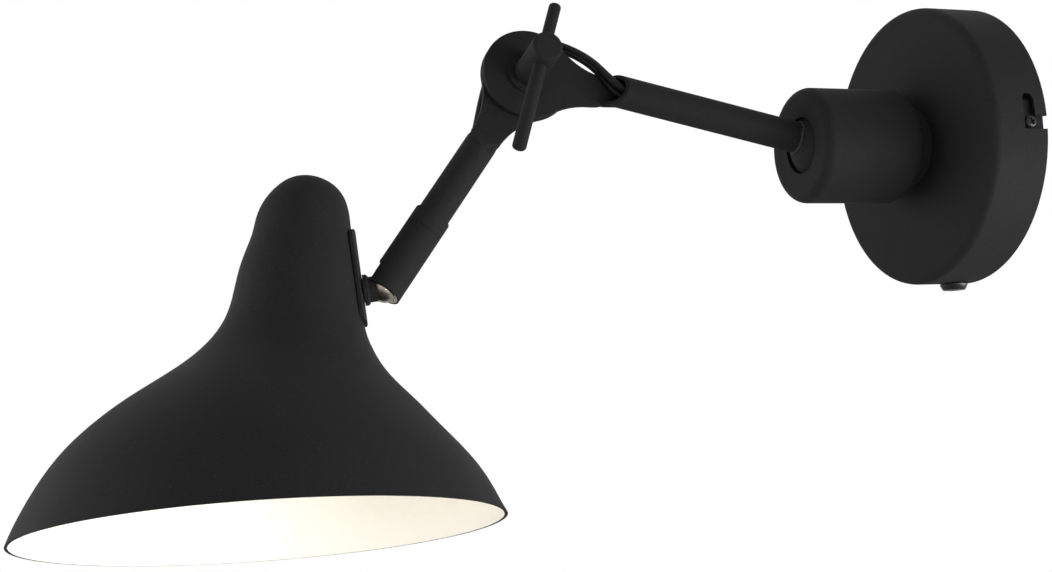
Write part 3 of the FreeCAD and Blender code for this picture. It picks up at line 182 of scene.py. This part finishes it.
# %% Powder coat
def powder_coat(name, colour, lighter, grain_mm, grain_depth_mm):
    """Matt black with a fine grain of its own, between two tones."""
    cloud_mm = 30
    material, shader = new_material(name, colour, 0.7, IOR=1.5, Specular_IOR_Level=0.06)
    where = add_node(material, "ShaderNodeTexCoord").outputs["Object"]
    grain = add_node(material, "ShaderNodeTexNoise",
                     {"Vector": where, "Scale": per_metre(grain_mm), "Detail": 2.0})
    cloud = add_node(material, "ShaderNodeTexNoise",
                     {"Vector": where, "Scale": per_metre(cloud_mm), "Detail": 1.0})
    tone = add_node(material, "ShaderNodeMix",
                    {0: cloud.outputs["Fac"], 6: linear(colour), 7: linear(lighter)},
                    data_type="RGBA")
    specks = add_node(material, "ShaderNodeMapRange",
                      {"Value": grain.outputs["Fac"], "From Min": 0.62, "From Max": 0.75,
                       "To Min": 0.0, "To Max": 0.55})
    speckled = add_node(material, "ShaderNodeMix",
                        {0: specks.outputs[0], 6: tone.outputs[2], 7: linear("#3c3c3c")},
                        data_type="RGBA")
    sheen = add_node(material, "ShaderNodeMapRange",
                     {"Value": cloud.outputs["Fac"], "From Min": 0.3, "From Max": 0.7,
                      "To Min": 0.66, "To Max": 0.76})
    bump = add_node(material, "ShaderNodeBump",
                    {"Height": grain.outputs["Fac"], "Distance": grain_depth_mm * MM,
                     "Strength": 0.8})
    feed(material, shader, "Base Color", speckled.outputs[2])
    feed(material, shader, "Roughness", sheen.outputs[0])
    feed(material, shader, "Normal", bump.outputs["Normal"])
    return material


spun_black = powder_coat("matt_black_powder_coat", "#1e1e1e", "#232323",
                         grain_mm=0.45, grain_depth_mm=0.05)
turned_black = powder_coat("matt_black_powder_coat_on_turned_steel", "#1d1d1d", "#242424",
                           grain_mm=0.38, grain_depth_mm=0.04)
print("powder coats:", spun_black.name, turned_black.name)

# %% [markdown]
# ## White stove enamel inside the shade
# The inside is sprayed warm white and baked, to throw the light out. The film flows smoother than
# powder and keeps a long, shallow orange peel, a couple of millimetres from crest to crest.

# %% Inside of the shade
peel_mm, peel_depth_mm = 2.2, 0.03
inside_white, shader = new_material("warm_white_stove_enamel", "#faf7ef", 0.42, IOR=1.5)
place = add_node(inside_white, "ShaderNodeTexCoord")
peel = add_node(inside_white, "ShaderNodeTexNoise",
                {"Vector": place.outputs["Object"], "Scale": per_metre(peel_mm), "Detail": 1.0})
bump = add_node(inside_white, "ShaderNodeBump",
                {"Height": peel.outputs["Fac"], "Distance": peel_depth_mm * MM, "Strength": 0.4})
warmth = add_node(inside_white, "ShaderNodeMix",
                  {0: peel.outputs["Fac"], 6: linear("#faf7ef"), 7: linear("#f8f3e8")},
                  data_type="RGBA")
feed(inside_white, shader, "Base Color", warmth.outputs[2])
feed(inside_white, shader, "Normal", bump.outputs["Normal"])
print("inside:", inside_white.name)

# %% [markdown]
# ## Bare metals
# The stud and its bush were turned before they were nickel plated, so they keep fine streaks.
# Brass screws are turned as well. Zinc plate has a slightly cloudy skin: grey, or nearly black where it is
# darkened as painted shade. Each metal keeps Blender's default index of refraction: the colour alone says which
# metal it is.

# %% Metals
def bare_metal(name, colour, darker, roughness, mark_mm, stretch=(1, 1, 1)):
    """A metal with clouds or streaks; stretch packs the marks closer along an axis."""
    material, shader = new_material(name, colour, roughness, Metallic=1.0)
    mark_depth_mm = 0.01
    where = add_node(material, "ShaderNodeTexCoord").outputs["Object"]
    turn = add_node(material, "ShaderNodeMapping", {"Vector": where, "Scale": stretch})
    marks = add_node(material, "ShaderNodeTexNoise",
                     {"Vector": turn.outputs["Vector"], "Scale": per_metre(mark_mm), "Detail": 3.0})
    tint = add_node(material, "ShaderNodeMix",
                    {0: marks.outputs["Fac"], 6: linear(colour), 7: linear(darker)},
                    data_type="RGBA")
    rough = add_node(material, "ShaderNodeMapRange",
                     {"Value": marks.outputs["Fac"], "From Min": 0.3, "From Max": 0.7,
                      "To Min": roughness - 0.05, "To Max": roughness + 0.08})
    bump = add_node(material, "ShaderNodeBump",
                    {"Height": marks.outputs["Fac"], "Distance": mark_depth_mm * MM,
                     "Strength": 0.35})
    feed(material, shader, "Base Color", tint.outputs[2])
    feed(material, shader, "Roughness", rough.outputs[0])
    feed(material, shader, "Normal", bump.outputs["Normal"])
    return material


# Nearly black zinc: painted shade for the bracket that is seen inside the rose through its slots.
zinc_darkened_as_painted_shade = bare_metal("zinc_darkened_as_painted_shade_plate", "#242528", "#17181a",
                        roughness=0.5, mark_mm=2.5)
nickel = bare_metal("satin_nickel_plate", "#b9b2a6", "#8f887c",
                    roughness=0.28, mark_mm=0.8, stretch=(1, 6, 1))
zinc = bare_metal("zinc_plated_steel", "#b3b5b6", "#8e9193", roughness=0.42, mark_mm=3.0)
spring_steel = bare_metal("tempered_spring_steel", "#6d6f76", "#4a4c55",
                          roughness=0.35, mark_mm=1.5)
brass = bare_metal("turned_brass", "#c9a15a", "#a57f3e",
                   roughness=0.3, mark_mm=0.7, stretch=(1, 1, 5))
print("metals:", zinc_darkened_as_painted_shade.name, nickel.name, zinc.name, spring_steel.name, brass.name)

# %% [markdown]
# ## Blackened screws
# Small machine screws are blacked in a hot salt bath. The layer is thin and oily, so it is darker
# and glossier than the powder coat beside it, and that glint is how the eye finds the screw.

# %% Blackened steel
stain_mm = 0.9
black_oxide, shader = new_material("blackened_steel", "#141416", 0.3, Metallic=0.6)
place = add_node(black_oxide, "ShaderNodeTexCoord")
stain = add_node(black_oxide, "ShaderNodeTexNoise",
                 {"Vector": place.outputs["Object"], "Scale": per_metre(stain_mm), "Detail": 3.0})
stained = add_node(black_oxide, "ShaderNodeMix",
                   {0: stain.outputs["Fac"], 6: linear("#151516"), 7: linear("#232221")},
                   data_type="RGBA")
oil = add_node(black_oxide, "ShaderNodeMapRange",
               {"Value": stain.outputs["Fac"], "From Min": 0.3, "From Max": 0.7,
                "To Min": 0.24, "To Max": 0.42})
feed(black_oxide, shader, "Base Color", stained.outputs[2])
feed(black_oxide, shader, "Roughness", oil.outputs[0])
print("screws:", black_oxide.name)

# %% [markdown]
# ## Plastics
# The friction rings are acetal, which is waxy. The terminal block is white urea, the lampholder
# black phenolic: both are pressed in polished steel moulds, so they shine, with faint flow clouds.
# The lead's sheath is soft, dull vinyl whose skin wrinkles a little.

# %% Plastics
def moulded(name, colour, cloudy, roughness, cloud_mm, ripple_mm,
            ripple_depth_mm=0.01, gloss=0.5):
    """A plastic with wide flow clouds and a fine ripple in its skin."""
    material, shader = new_material(name, colour, roughness, IOR=1.52, Specular_IOR_Level=gloss)
    where = add_node(material, "ShaderNodeTexCoord").outputs["Object"]
    flow = add_node(material, "ShaderNodeTexNoise",
                    {"Vector": where, "Scale": per_metre(cloud_mm), "Detail": 2.0})
    mixed = add_node(material, "ShaderNodeMix",
                     {0: flow.outputs["Fac"], 6: linear(colour), 7: linear(cloudy)},
                     data_type="RGBA")
    ripple = add_node(material, "ShaderNodeTexNoise",
                      {"Vector": where, "Scale": per_metre(ripple_mm), "Detail": 1.0})
    rough = add_node(material, "ShaderNodeMapRange",
                     {"Value": ripple.outputs["Fac"], "From Min": 0.3, "From Max": 0.7,
                      "To Min": roughness - 0.04, "To Max": roughness + 0.06})
    bump = add_node(material, "ShaderNodeBump",
                    {"Height": ripple.outputs["Fac"], "Distance": ripple_depth_mm * MM,
                     "Strength": 0.5})
    feed(material, shader, "Base Color", mixed.outputs[2])
    feed(material, shader, "Roughness", rough.outputs[0])
    feed(material, shader, "Normal", bump.outputs["Normal"])
    return material


acetal = moulded("black_acetal", "#17171a", "#1d1d1f", roughness=0.45, cloud_mm=6, ripple_mm=0.5)
urea = moulded("white_urea_moulding", "#ecebe4", "#e2e0d6",
               roughness=0.25, cloud_mm=8, ripple_mm=1.2)
phenolic = moulded("black_phenolic_moulding", "#141313", "#1f1b19",
                   roughness=0.22, cloud_mm=7, ripple_mm=1.5)
vinyl = moulded("black_vinyl_sheath", "#121213", "#19191a",
                roughness=0.45, cloud_mm=5, ripple_mm=0.8, ripple_depth_mm=0.04, gloss=0.12)
print("plastics:", acetal.name, urea.name, phenolic.name, vinyl.name)

# %% [markdown]
# ## Opal glass
# The lamp's ball is glass coated white on the inside, so the filament shows as an even glow. It
# passes no picture, so it needs no real transparency: a white, slightly waxy surface with a low,
# warm emission does it.

# %% Lamp glass
wash_mm, glow_strength = 9, 1.3
opal, shader = new_material("opal_lamp_glass", "#f6f3ea", 0.18, IOR=1.5)
place = add_node(opal, "ShaderNodeTexCoord")
wash = add_node(opal, "ShaderNodeTexNoise",
                {"Vector": place.outputs["Object"], "Scale": per_metre(wash_mm), "Detail": 1.0})
milk = add_node(opal, "ShaderNodeMix",
                {0: wash.outputs["Fac"], 6: linear("#f8f5ee"), 7: linear("#f1ece0")},
                data_type="RGBA")
feed(opal, shader, "Base Color", milk.outputs[2])
shader.inputs["Emission Color"].default_value = linear("#ffe9c8")
shader.inputs["Emission Strength"].default_value = glow_strength
print("glass:", opal.name)

# %% [markdown]
# ## Which part has which finish
# The record of the CAD model names a finish for every part. A table turns those names into the materials above. A
# part's own mesh stays as it is: only its material slot is filled. The wall bracket is the one zinc part that is
# nearly black, as painted shade: it shows through the rose's slots and stands in for the shade inside the rose.

# %% Dress the CAD parts
finishes = {
    "black_paint": spun_black, "cast_paint": turned_black, "zinc_steel": zinc, "nickel": nickel,
    "spring_steel": spring_steel, "black_screw": black_oxide, "brass_parts": brass,
    "black_friction": acetal, "white_plastic": urea, "black_plastic": phenolic,
    "black_sheath": vinyl, "lamp_glass": opal,
}
for part in frame["record"]["subparts"]:
    mesh = nodes[part["node"]].data
    mesh.materials.clear()
    mesh.materials.append(finishes[part["material_slot"]])
# The wall bracket's near black is painted shade, standing for the shade inside the rose.
nodes["wall_bracket"].data.materials[0] = zinc_darkened_as_painted_shade

# %% [markdown]
# ## A stud in two finishes
# Only the stud's ball is bright, where it turns in its bush. The stem beyond it wears the black of
# the lamp. The faces are told apart by their distance from the middle of the ball.

# %% Black stem, bright ball
knuckle = Vector(joints["shade_tilt"]["pos_m"])
bright_reach = 5.05 * MM
stud = nodes["ball_stud"].data
stud.materials.append(turned_black)
painted = 0
for face in stud.polygons:
    if (face.center - knuckle).length > bright_reach:
        face.material_index = 1
        painted += 1
print("faces of the stud:", len(stud.polygons), "black:", painted)

# %% [markdown]
# ## Two coats on one shade
# The shade is black outside and white inside. It is one spun sheet, so the split is made by its
# faces: a face whose normal points towards the shade's inside gets the white enamel. The thin rim
# stays black, because the outer coat wraps round it. Which way is inside follows from the line
# that runs up the middle of the shade.

# %% Inside of the shade in white
rim_centre = mm(-10.816, -261.174, -123.219)
to_wall = Vector((0.2781, 0.9602, 0.0274))
shade_up = Vector((-0.1752, 0.0226, 0.9843))
# Height above the rim and offset of the shade's middle towards the wall, both in millimetres.
middle_line = [(-20, 0), (30, 0), (42, 2.5), (50, 6), (56, 8.9), (62, 11.3), (68, 13.1), (78, 14.6),
               (92, 16.5), (104, 18.2), (120, 19)]


def middle_of_shade(height_mm):
    """Offset of the shade's middle at a height, read between the rows of the table."""
    for (low, before), (high, after) in zip(middle_line, middle_line[1:]):
        if height_mm <= high:
            share = max(0.0, (height_mm - low) / (high - low))
            return before + (after - before) * share
    return middle_line[-1][1]


rim_band, facing_down, heart_below = 0.3, -0.7, 12
shade = nodes["shade"].data
shade.materials.append(inside_white)
whitened = 0
for face in shade.polygons:
    height = (face.center - rim_centre).dot(shade_up) / MM
    if height < rim_band and face.normal.dot(shade_up) < facing_down:
        continue
    below = height - heart_below
    heart = rim_centre + shade_up * below * MM + to_wall * middle_of_shade(height) * MM
    if face.normal.dot(face.center - heart) < 0:
        face.material_index = 1
        whitened += 1
print("faces of the shade:", len(shade.polygons), "white:", whitened)

# %% [markdown]
# ## The lead at the elbow
# Two strands leave the upper tube through its open mouth, swing out round the two lugs and go back
# into the lower tube, slack enough for the elbow to fold. A limp lead lies in one smooth line, so
# its route is a NURBS spline: a few points steer it and it passes near them without a kink. The
# points are in millimetres from the elbow's bolt: X back along the upper tube, Y across, Z along
# the bolt.

# %% Routes of the two strands
lead_route = [
    (53, -0.4, 0.4), (45, -0.2, 0.9), (37.8, 0, 1.2), (31.2, 0.9, 1.4), (26.4, 5, 0),
    (20.8, 10.6, -2.9), (13.5, 14.7, -6.3), (4.8, 17, -9.6), (-3.2, 16, -13), (-8.6, 10.6, -15.5),
    (-11.2, 2.6, -15.8), (-12.2, -6.3, -15.8), (-12.7, -15.2, -15.2), (-13.2, -24, -14),
    (-14.9, -32.8, -12.6), (-17.9, -41, -11.8),
]
strand_route = [
    (52.8, -2.3, -1.2), (44.8, -2.1, -0.8), (37.2, -1.9, -0.6), (30.9, -0.9, -0.6),
    (26.1, 4.7, -2.4), (20.7, 10.2, -5.3), (13.7, 14.2, -8.6), (5.1, 16.2, -11.9),
    (-2.4, 14.2, -15), (-6.8, 9.2, -17.2), (-9, 2, -17.8), (-10, -6.6, -17.2),
    (-10.7, -15.6, -16.6), (-11.3, -24.6, -15.7), (-13, -33.3, -14.1), (-15.9, -41.4, -13.4),
]


def at_elbow(point):
    """A point of the elbow's drawing, in the frame of the whole lamp."""
    return elbow_centre + from_elbow @ mm(*point)


def spline_points(name, route):
    """The smooth line through a route, as points close enough together to sweep a tube along."""
    curve = bpy.data.curves.new(name + "_line", "CURVE")
    curve.dimensions = "3D"
    curve.resolution_u = 10
    spline = curve.splines.new("NURBS")
    spline.points.add(len(route) - 1)
    for control, point in zip(spline.points, route):
        control.co = (*at_elbow(point), 1)
    spline.order_u = 3
    spline.use_endpoint_u = True
    line = bpy.data.objects.new(name + "_line", curve)
    traced = bpy.data.meshes.new_from_object(line)
    points = [vertex.co.copy() for vertex in traced.vertices]
    bpy.data.objects.remove(line)
    bpy.data.meshes.remove(traced)
    return points


paths = {"elbow_lead": spline_points("elbow_lead", lead_route),
         "elbow_strand": spline_points("elbow_strand", strand_route)}
for name, points in paths.items():
    length = sum((b - a).length for a, b in zip(points, points[1:]))
    print(name, len(points), "points, length", round(length / MM, 1), "mm")

# %% [markdown]
# ## Sweeping a strand
# Each strand is a mesh, a tube swept along its line. A ring of points is carried along the line. Each ring is
# turned only as much as the line turns, which keeps the tube from twisting.

# %% Strand meshes
def skin(rings, sides):
    """Faces that join rings of points to a tube, with a lid at both ends."""
    faces = []
    for i in range(rings - 1):
        low, high = i * sides, (i + 1) * sides
        for k in range(sides):
            after = (k + 1) % sides
            faces.append((low + k, low + after, high + after, high + k))
    faces.append(tuple(reversed(range(sides))))
    faces.append(tuple(range((rings - 1) * sides, rings * sides)))
    return faces


def rings_along(points, radius, sides):
    """Vertices and faces of a round tube along a line."""
    vertices = []
    tangent = (points[1] - points[0]).normalized()
    side = tangent.orthogonal().normalized()
    for i, point in enumerate(points):
        ahead = points[min(i + 1, len(points) - 1)] - points[max(i - 1, 0)]
        ahead.normalize()
        side = (side - ahead * side.dot(ahead)).normalized()
        other = ahead.cross(side)
        for k in range(sides):
            angle = 2 * math.pi * k / sides
            vertices.append(point + (side * math.cos(angle) + other * math.sin(angle)) * radius)
    return vertices, skin(len(points), sides)


def new_piece(name, vertices, faces, material, slot, smooth=True):
    """A mesh object with one finish."""
    mesh = bpy.data.meshes.new(name)
    mesh.from_pydata([tuple(vertex) for vertex in vertices], [], faces)
    mesh.update()
    for face in mesh.polygons:
        face.use_smooth = smooth
    mesh.materials.append(material)
    piece = bpy.data.objects.new(name, mesh)
    bpy.context.scene.collection.objects.link(piece)
    return piece


# Radii of the strands in millimetres.
strand_radius = {"elbow_lead": 1.35, "elbow_strand": 0.95}
for name, points in paths.items():
    radius = strand_radius[name] * MM
    vertices, faces = rings_along(points, radius, sides=20)
    piece = new_piece(name + "_sheath", vertices, faces, vinyl, "black_sheath")
    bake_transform(piece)
    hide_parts(name)
    length = sum((b - a).length for a, b in zip(points, points[1:]))
    print(piece.name, "vertices", len(piece.data.vertices), "length", round(length / MM, 1))

# %% [markdown]
# ## Pressed ends of the tubes
# Each arm is a tube whose end is pressed flat into a lug. Where flat turns to round, the real
# tube's corners are drawn in by the press, so nothing stands out past the round. The CAD model
# leaves square corners there. Here the same mesh is copied and its corner points are drawn in,
# more and more towards the round part. Their distance from the elbow is measured along the arm.

# %% Pressed ends
def pressed_arm(node, body, centre, along):
    """A copy of an arm whose corners, near the lug's root, stay within the tube's round."""
    mesh = nodes[node].data.copy()
    mesh.transform(nodes[node].matrix_world)
    tube, spare = 5.62 * MM, 2.4 * MM
    root_start, root_end = 24 * MM, 31 * MM
    round_from = 1.6 * root_end
    drawn = 0
    for vertex in mesh.vertices:
        run = (vertex.co - centre).dot(along)
        outwards = vertex.co - centre - along * run
        if run < root_start or run > round_from:
            continue
        share = min(1.0, (run - root_start) / (root_end - root_start))
        limit = tube + spare * (0.5 + 0.5 * math.cos(math.pi * share))
        if outwards.length > limit:
            vertex.co -= outwards * (1 - limit / outwards.length)
            drawn += 1
    piece = bpy.data.objects.new(node + "_pressed", mesh)
    bpy.context.scene.collection.objects.link(piece)
    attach(piece, body)
    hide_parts(node)
    print(piece.name, "corner points drawn in:", drawn, "of", len(mesh.vertices))


lower_axis = Vector((0.1205, -0.6061, -0.7862)).normalized()
between_tubes = 11.7
lower_centre = elbow_centre - elbow_axis * between_tubes * MM
pressed_arm("upper_arm", "upper_arm", elbow_centre, back_along)
pressed_arm("lower_arm", "lower_arm", lower_centre, lower_axis)

# %% [markdown]
# ## The weld at the ball
# The arm's tube is welded into the steel ball and the coat goes over both. A hand weld is a row of
# small overlapping scales, never quite alike. It is a ring swept round the tube: its thickness
# rises and falls once per scale, and a few slow waves make it uneven, without any random numbers.

# %% Weld bead
tube_radius, ball_radius = 5.6, 14.0
weld_reach = math.sqrt(ball_radius ** 2 - tube_radius ** 2)
scales, bead_sides = 19, 10
thinnest, scale_rise = 0.36, 0.2
steps = scales * 8
vertices, faces = [], []
for i in range(steps):
    around = 2 * math.pi * i / steps
    outwards = elbow_axis * math.cos(around) + elbow_axis.cross(arm_axis) * math.sin(around)
    scale = abs(math.sin(around * scales / 2))
    bead = thinnest + scale_rise * scale + 0.08 * math.sin(3 * around + 1)
    bead += 0.05 * math.sin(7 * around)
    reach = weld_reach + 0.1 * math.sin(5 * around)
    heart = ball_centre + arm_axis * reach * MM + outwards * tube_radius * MM
    for k in range(bead_sides):
        angle = 2 * math.pi * k / bead_sides
        spoke = outwards * math.cos(angle) + arm_axis * math.sin(angle)
        vertices.append(heart + spoke * bead * MM)
for i in range(steps):
    here, there = i * bead_sides, (i + 1) % steps * bead_sides
    for k in range(bead_sides):
        after = (k + 1) % bead_sides
        faces.append((here + k, here + after, there + after, there + k))
weld_black = powder_coat("matt_black_powder_coat_on_weld", "#222222", "#4a4a4a",
                         grain_mm=0.8, grain_depth_mm=0.2)
weld = new_piece("ball_weld", vertices, faces, weld_black, "cast_paint")
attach(weld, "upper_arm")
print("weld:", scales, "scales round a tube of", 2 * tube_radius, "mm")

# %% [markdown]
# ## Screws with a drive
# The CAD model has plain heads. The two screws in the bayonet slots get small domed heads with a
# cross recess, which sit in the slots. The lock screw under the rose gets a tapered head with a
# hexagon socket. A head is a profile turned about its axis, in millimetres, and the recess is cut
# out of it with a Boolean modifier, which is then applied.

# %% Turned and cut heads
def lathe(profile, sides=48):
    """Vertices and faces of a profile of (radius, height) turned about Z, closed at both ends."""
    vertices = []
    for radius, height in profile:
        for k in range(sides):
            angle = 2 * math.pi * k / sides
            vertices.append(Vector((radius * math.cos(angle), radius * math.sin(angle), height)))
    return vertices, skin(len(profile), sides)


def prism(outline, low, high):
    """Vertices and faces of a straight prism over an outline in XY."""
    vertices = [Vector((x, y, height)) for height in (low, high) for x, y in outline]
    return vertices, skin(2, len(outline))


def cut_screw(name, profile, recess, depth, spot, outwards, material):
    """A turned screw, recessed at its top and set with its seat at a spot, facing outwards."""
    top = max(height for _radius, height in profile)
    turn = outwards.to_track_quat("Z", "Y").to_matrix().to_4x4()
    place = Matrix.Translation(spot) @ turn @ Matrix.Scale(MM, 4)
    screw = new_piece(name, *lathe(profile), material, "black_screw")
    cutter_shape = prism(recess, top - depth, top + 1)
    cutter = new_piece(name + "_cutter", *cutter_shape, material, "black_screw")
    cut = screw.modifiers.new("recess", "BOOLEAN")
    cut.object = cutter
    cut.solver = "EXACT"
    depsgraph = bpy.context.evaluated_depsgraph_get()
    finished = bpy.data.meshes.new_from_object(screw.evaluated_get(depsgraph))
    screw.modifiers.clear()
    bpy.data.objects.remove(cutter)
    finished.transform(place)
    finished.name = name
    screw.data = finished
    finished.shade_smooth()
    finished.set_sharp_from_angle(angle=math.radians(32))
    return screw


cross = [(-0.3, -1.25), (0.3, -1.25), (0.3, -0.3), (1.25, -0.3), (1.25, 0.3), (0.3, 0.3),
         (0.3, 1.25), (-0.3, 1.25), (-0.3, 0.3), (-1.25, 0.3), (-1.25, -0.3), (-0.3, -0.3)]
dome = [(1.5, -4.4), (1.5, -1.1), (2.05, -1.1), (2.15, -0.95), (2.15, -0.2), (2.0, 0.3),
        (1.7, 0.62), (1.2, 0.82), (0.6, 0.9), (0.2, 0.9)]
twist = Matrix.Rotation(math.radians(27), 2)
turned_cross = [tuple(twist @ Vector(corner)) for corner in cross]
cross_depth = 0.9
seat_from_middle, seat_from_wall = 50.1, 6.9
screws = []
for name, side in (("rim_screw_right", 1), ("rim_screw_left", -1)):
    seat = mm(side * seat_from_middle, -seat_from_wall, 0)
    outwards = Vector((side, 0, 0))
    screws.append(cut_screw(name, dome, turned_cross, cross_depth, seat, outwards, black_oxide))
    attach(screws[-1], "wall")
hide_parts("rim_screws")
socket_radius, socket_depth = 2.0, 1.5
sixths = [math.radians(60 * k) for k in range(6)]
hexagon = [(socket_radius * math.cos(angle), socket_radius * math.sin(angle)) for angle in sixths]
knob = [(2.5, -6.0), (2.5, 0.0), (4.8, 0.0), (5.0, 0.15), (4.95, 0.5), (4.1, 2.1), (3.8, 2.35),
        (3.4, 2.4), (0.2, 2.4)]
seat, down = mm(0, -seat_from_wall, -seat_from_middle), Vector((0, 0, -1))
lock = cut_screw("rose_lock_screw", knob, hexagon, socket_depth, seat, down, black_oxide)
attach(lock, "wall")
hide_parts("lock_screw")
print("screws:", [screw.name for screw in screws], lock.name)

# %% [markdown]
# ## Dark plates behind the bayonet slots, as painted shade
# The ears of the wall bracket are widened behind each bayonet slot by a dark plate, so that through the slot the
# eye meets dark metal, not the wall. This is painted shade: the plate stands in for the shade inside the rose.
# Each plate is small, with cut corners, set a little into the inner side of its ear.

# %% Ear plates of painted shade
shadow_plate_outline = [(-16.6, -7.5), (-16.6, 13.5), (-15.1, 15.0), (-2.5, 15.0), (-1.0, 13.5),
                  (-1.0, -7.5), (-2.5, -9.0), (-15.1, -9.0)]
shadow_plate_inner, shadow_plate_outer = 45.1, 46.2
# Each dark plate is painted shade for the inside of the rose behind its slot.
for name, side in (("ear_shadow_plate_right", 1), ("ear_shadow_plate_left", -1)):
    vertices, faces = prism(shadow_plate_outline, shadow_plate_inner, shadow_plate_outer)
    placed = [mm(side * height, along, side * across) for along, across, height in vertices]
    outward = [tuple(reversed(face)) for face in faces]
    shadow_plate = new_piece(name, placed, outward, zinc_darkened_as_painted_shade, "zinc_steel", smooth=False)
    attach(shadow_plate, "wall")
print("shields:", len(shadow_plate_outline), "corners each")

# %% [markdown]
# ## Sky and floor
# The lamp hangs above a pale floor, far enough below to leave room for every pose. What the camera
# sees behind the lamp is plain white: the sky is at full strength for camera rays, and for
# reflections too, so that gloss shows the same white room. It lights the lamp with less than half
# of that. The floor adds a little white of its own for the camera, and its shadow stays.

# %% Sky and floor
world = bpy.data.worlds.new("white_studio")
bpy.context.scene.world = world
world.use_nodes = True
sky = world.node_tree.nodes["Background"]
sky.inputs["Color"].default_value = (1, 1, 1, 1)
rays = add_node(world, "ShaderNodeLightPath")
seen = add_node(world, "ShaderNodeMath",
                {0: rays.outputs["Is Camera Ray"], 1: rays.outputs["Is Glossy Ray"]},
                operation="MAXIMUM")
through = add_node(world, "ShaderNodeMath",
                   {0: seen.outputs[0], 1: rays.outputs["Is Transmission Ray"]},
                   operation="MAXIMUM")
level = add_node(world, "ShaderNodeMapRange",
                 {"Value": through.outputs[0], "To Min": 0.4, "To Max": 1.0})
feed(world, sky, "Strength", level.outputs[0])

floor_level = -0.42
floor_white, shader = new_material("pale_floor", "#e6e6e6", 0.8)
camera_ray = add_node(floor_white, "ShaderNodeLightPath")
glow = add_node(floor_white, "ShaderNodeMath",
                {0: camera_ray.outputs["Is Camera Ray"], 1: 0.3}, operation="MULTIPLY")
shader.inputs["Emission Color"].default_value = (1, 1, 1, 1)
feed(floor_white, shader, "Emission Strength", glow.outputs[0])
corners = [(-1.6, -1.8), (1.6, -1.8), (1.6, 1.4), (-1.6, 1.4)]
floor_mesh = bpy.data.meshes.new("floor")
floor_mesh.from_pydata([(x, y, floor_level) for x, y in corners], [], [(0, 1, 2, 3)])
floor_mesh.materials.append(floor_white)
floor = bpy.data.objects.new("floor", floor_mesh)
bpy.context.scene.collection.objects.link(floor)
print("floor", floor_level, "m, below the lamp by", round(cad_box[0].z - floor_level, 3), "m")

# %% [markdown]
# ## Soft lights
# Matt black takes its form from the direction of the light. A panel at the left shapes the shade.
# Two low ones, in front and at the right, lift the undersides. A weak one from above and behind
# draws the top edges. They are large, so their shadows are soft.

# %% Lamps
def panel(name, spot, target, wide, tall, watts):
    """A soft rectangular light that faces a point."""
    light = bpy.data.lights.new(name, "AREA")
    light.shape = "RECTANGLE"
    light.size = wide
    light.size_y = tall
    light.energy = watts
    lamp = bpy.data.objects.new(name, light)
    lamp.location = spot
    lamp.rotation_euler = (Vector(target) - Vector(spot)).to_track_quat("-Z", "Y").to_euler()
    bpy.context.scene.collection.objects.link(lamp)


# Distances in metres, from the middle of the lamp.
middle = (Vector(cad_box[0]) + Vector(cad_box[1])) / 2
at_left = middle - right * 1.25 + back * 0.1
low_in_front = middle + right * 0.55 + back * 0.8 + Vector((0, 0, -0.34))
low_at_right = middle + right * 0.95 + back * 0.25 + Vector((0, 0, -0.30))
above_behind = middle + up * 1.1 - back * 0.6
panel("left_panel", at_left, middle, wide=0.9, tall=0.7, watts=12)
panel("low_panel", low_in_front, middle, wide=0.9, tall=0.35, watts=12)
panel("low_side_panel", low_at_right, middle, wide=0.9, tall=0.35, watts=20)
panel("top_panel", above_behind, middle, wide=0.9, tall=0.7, watts=1)
print("panels aim at", middle)
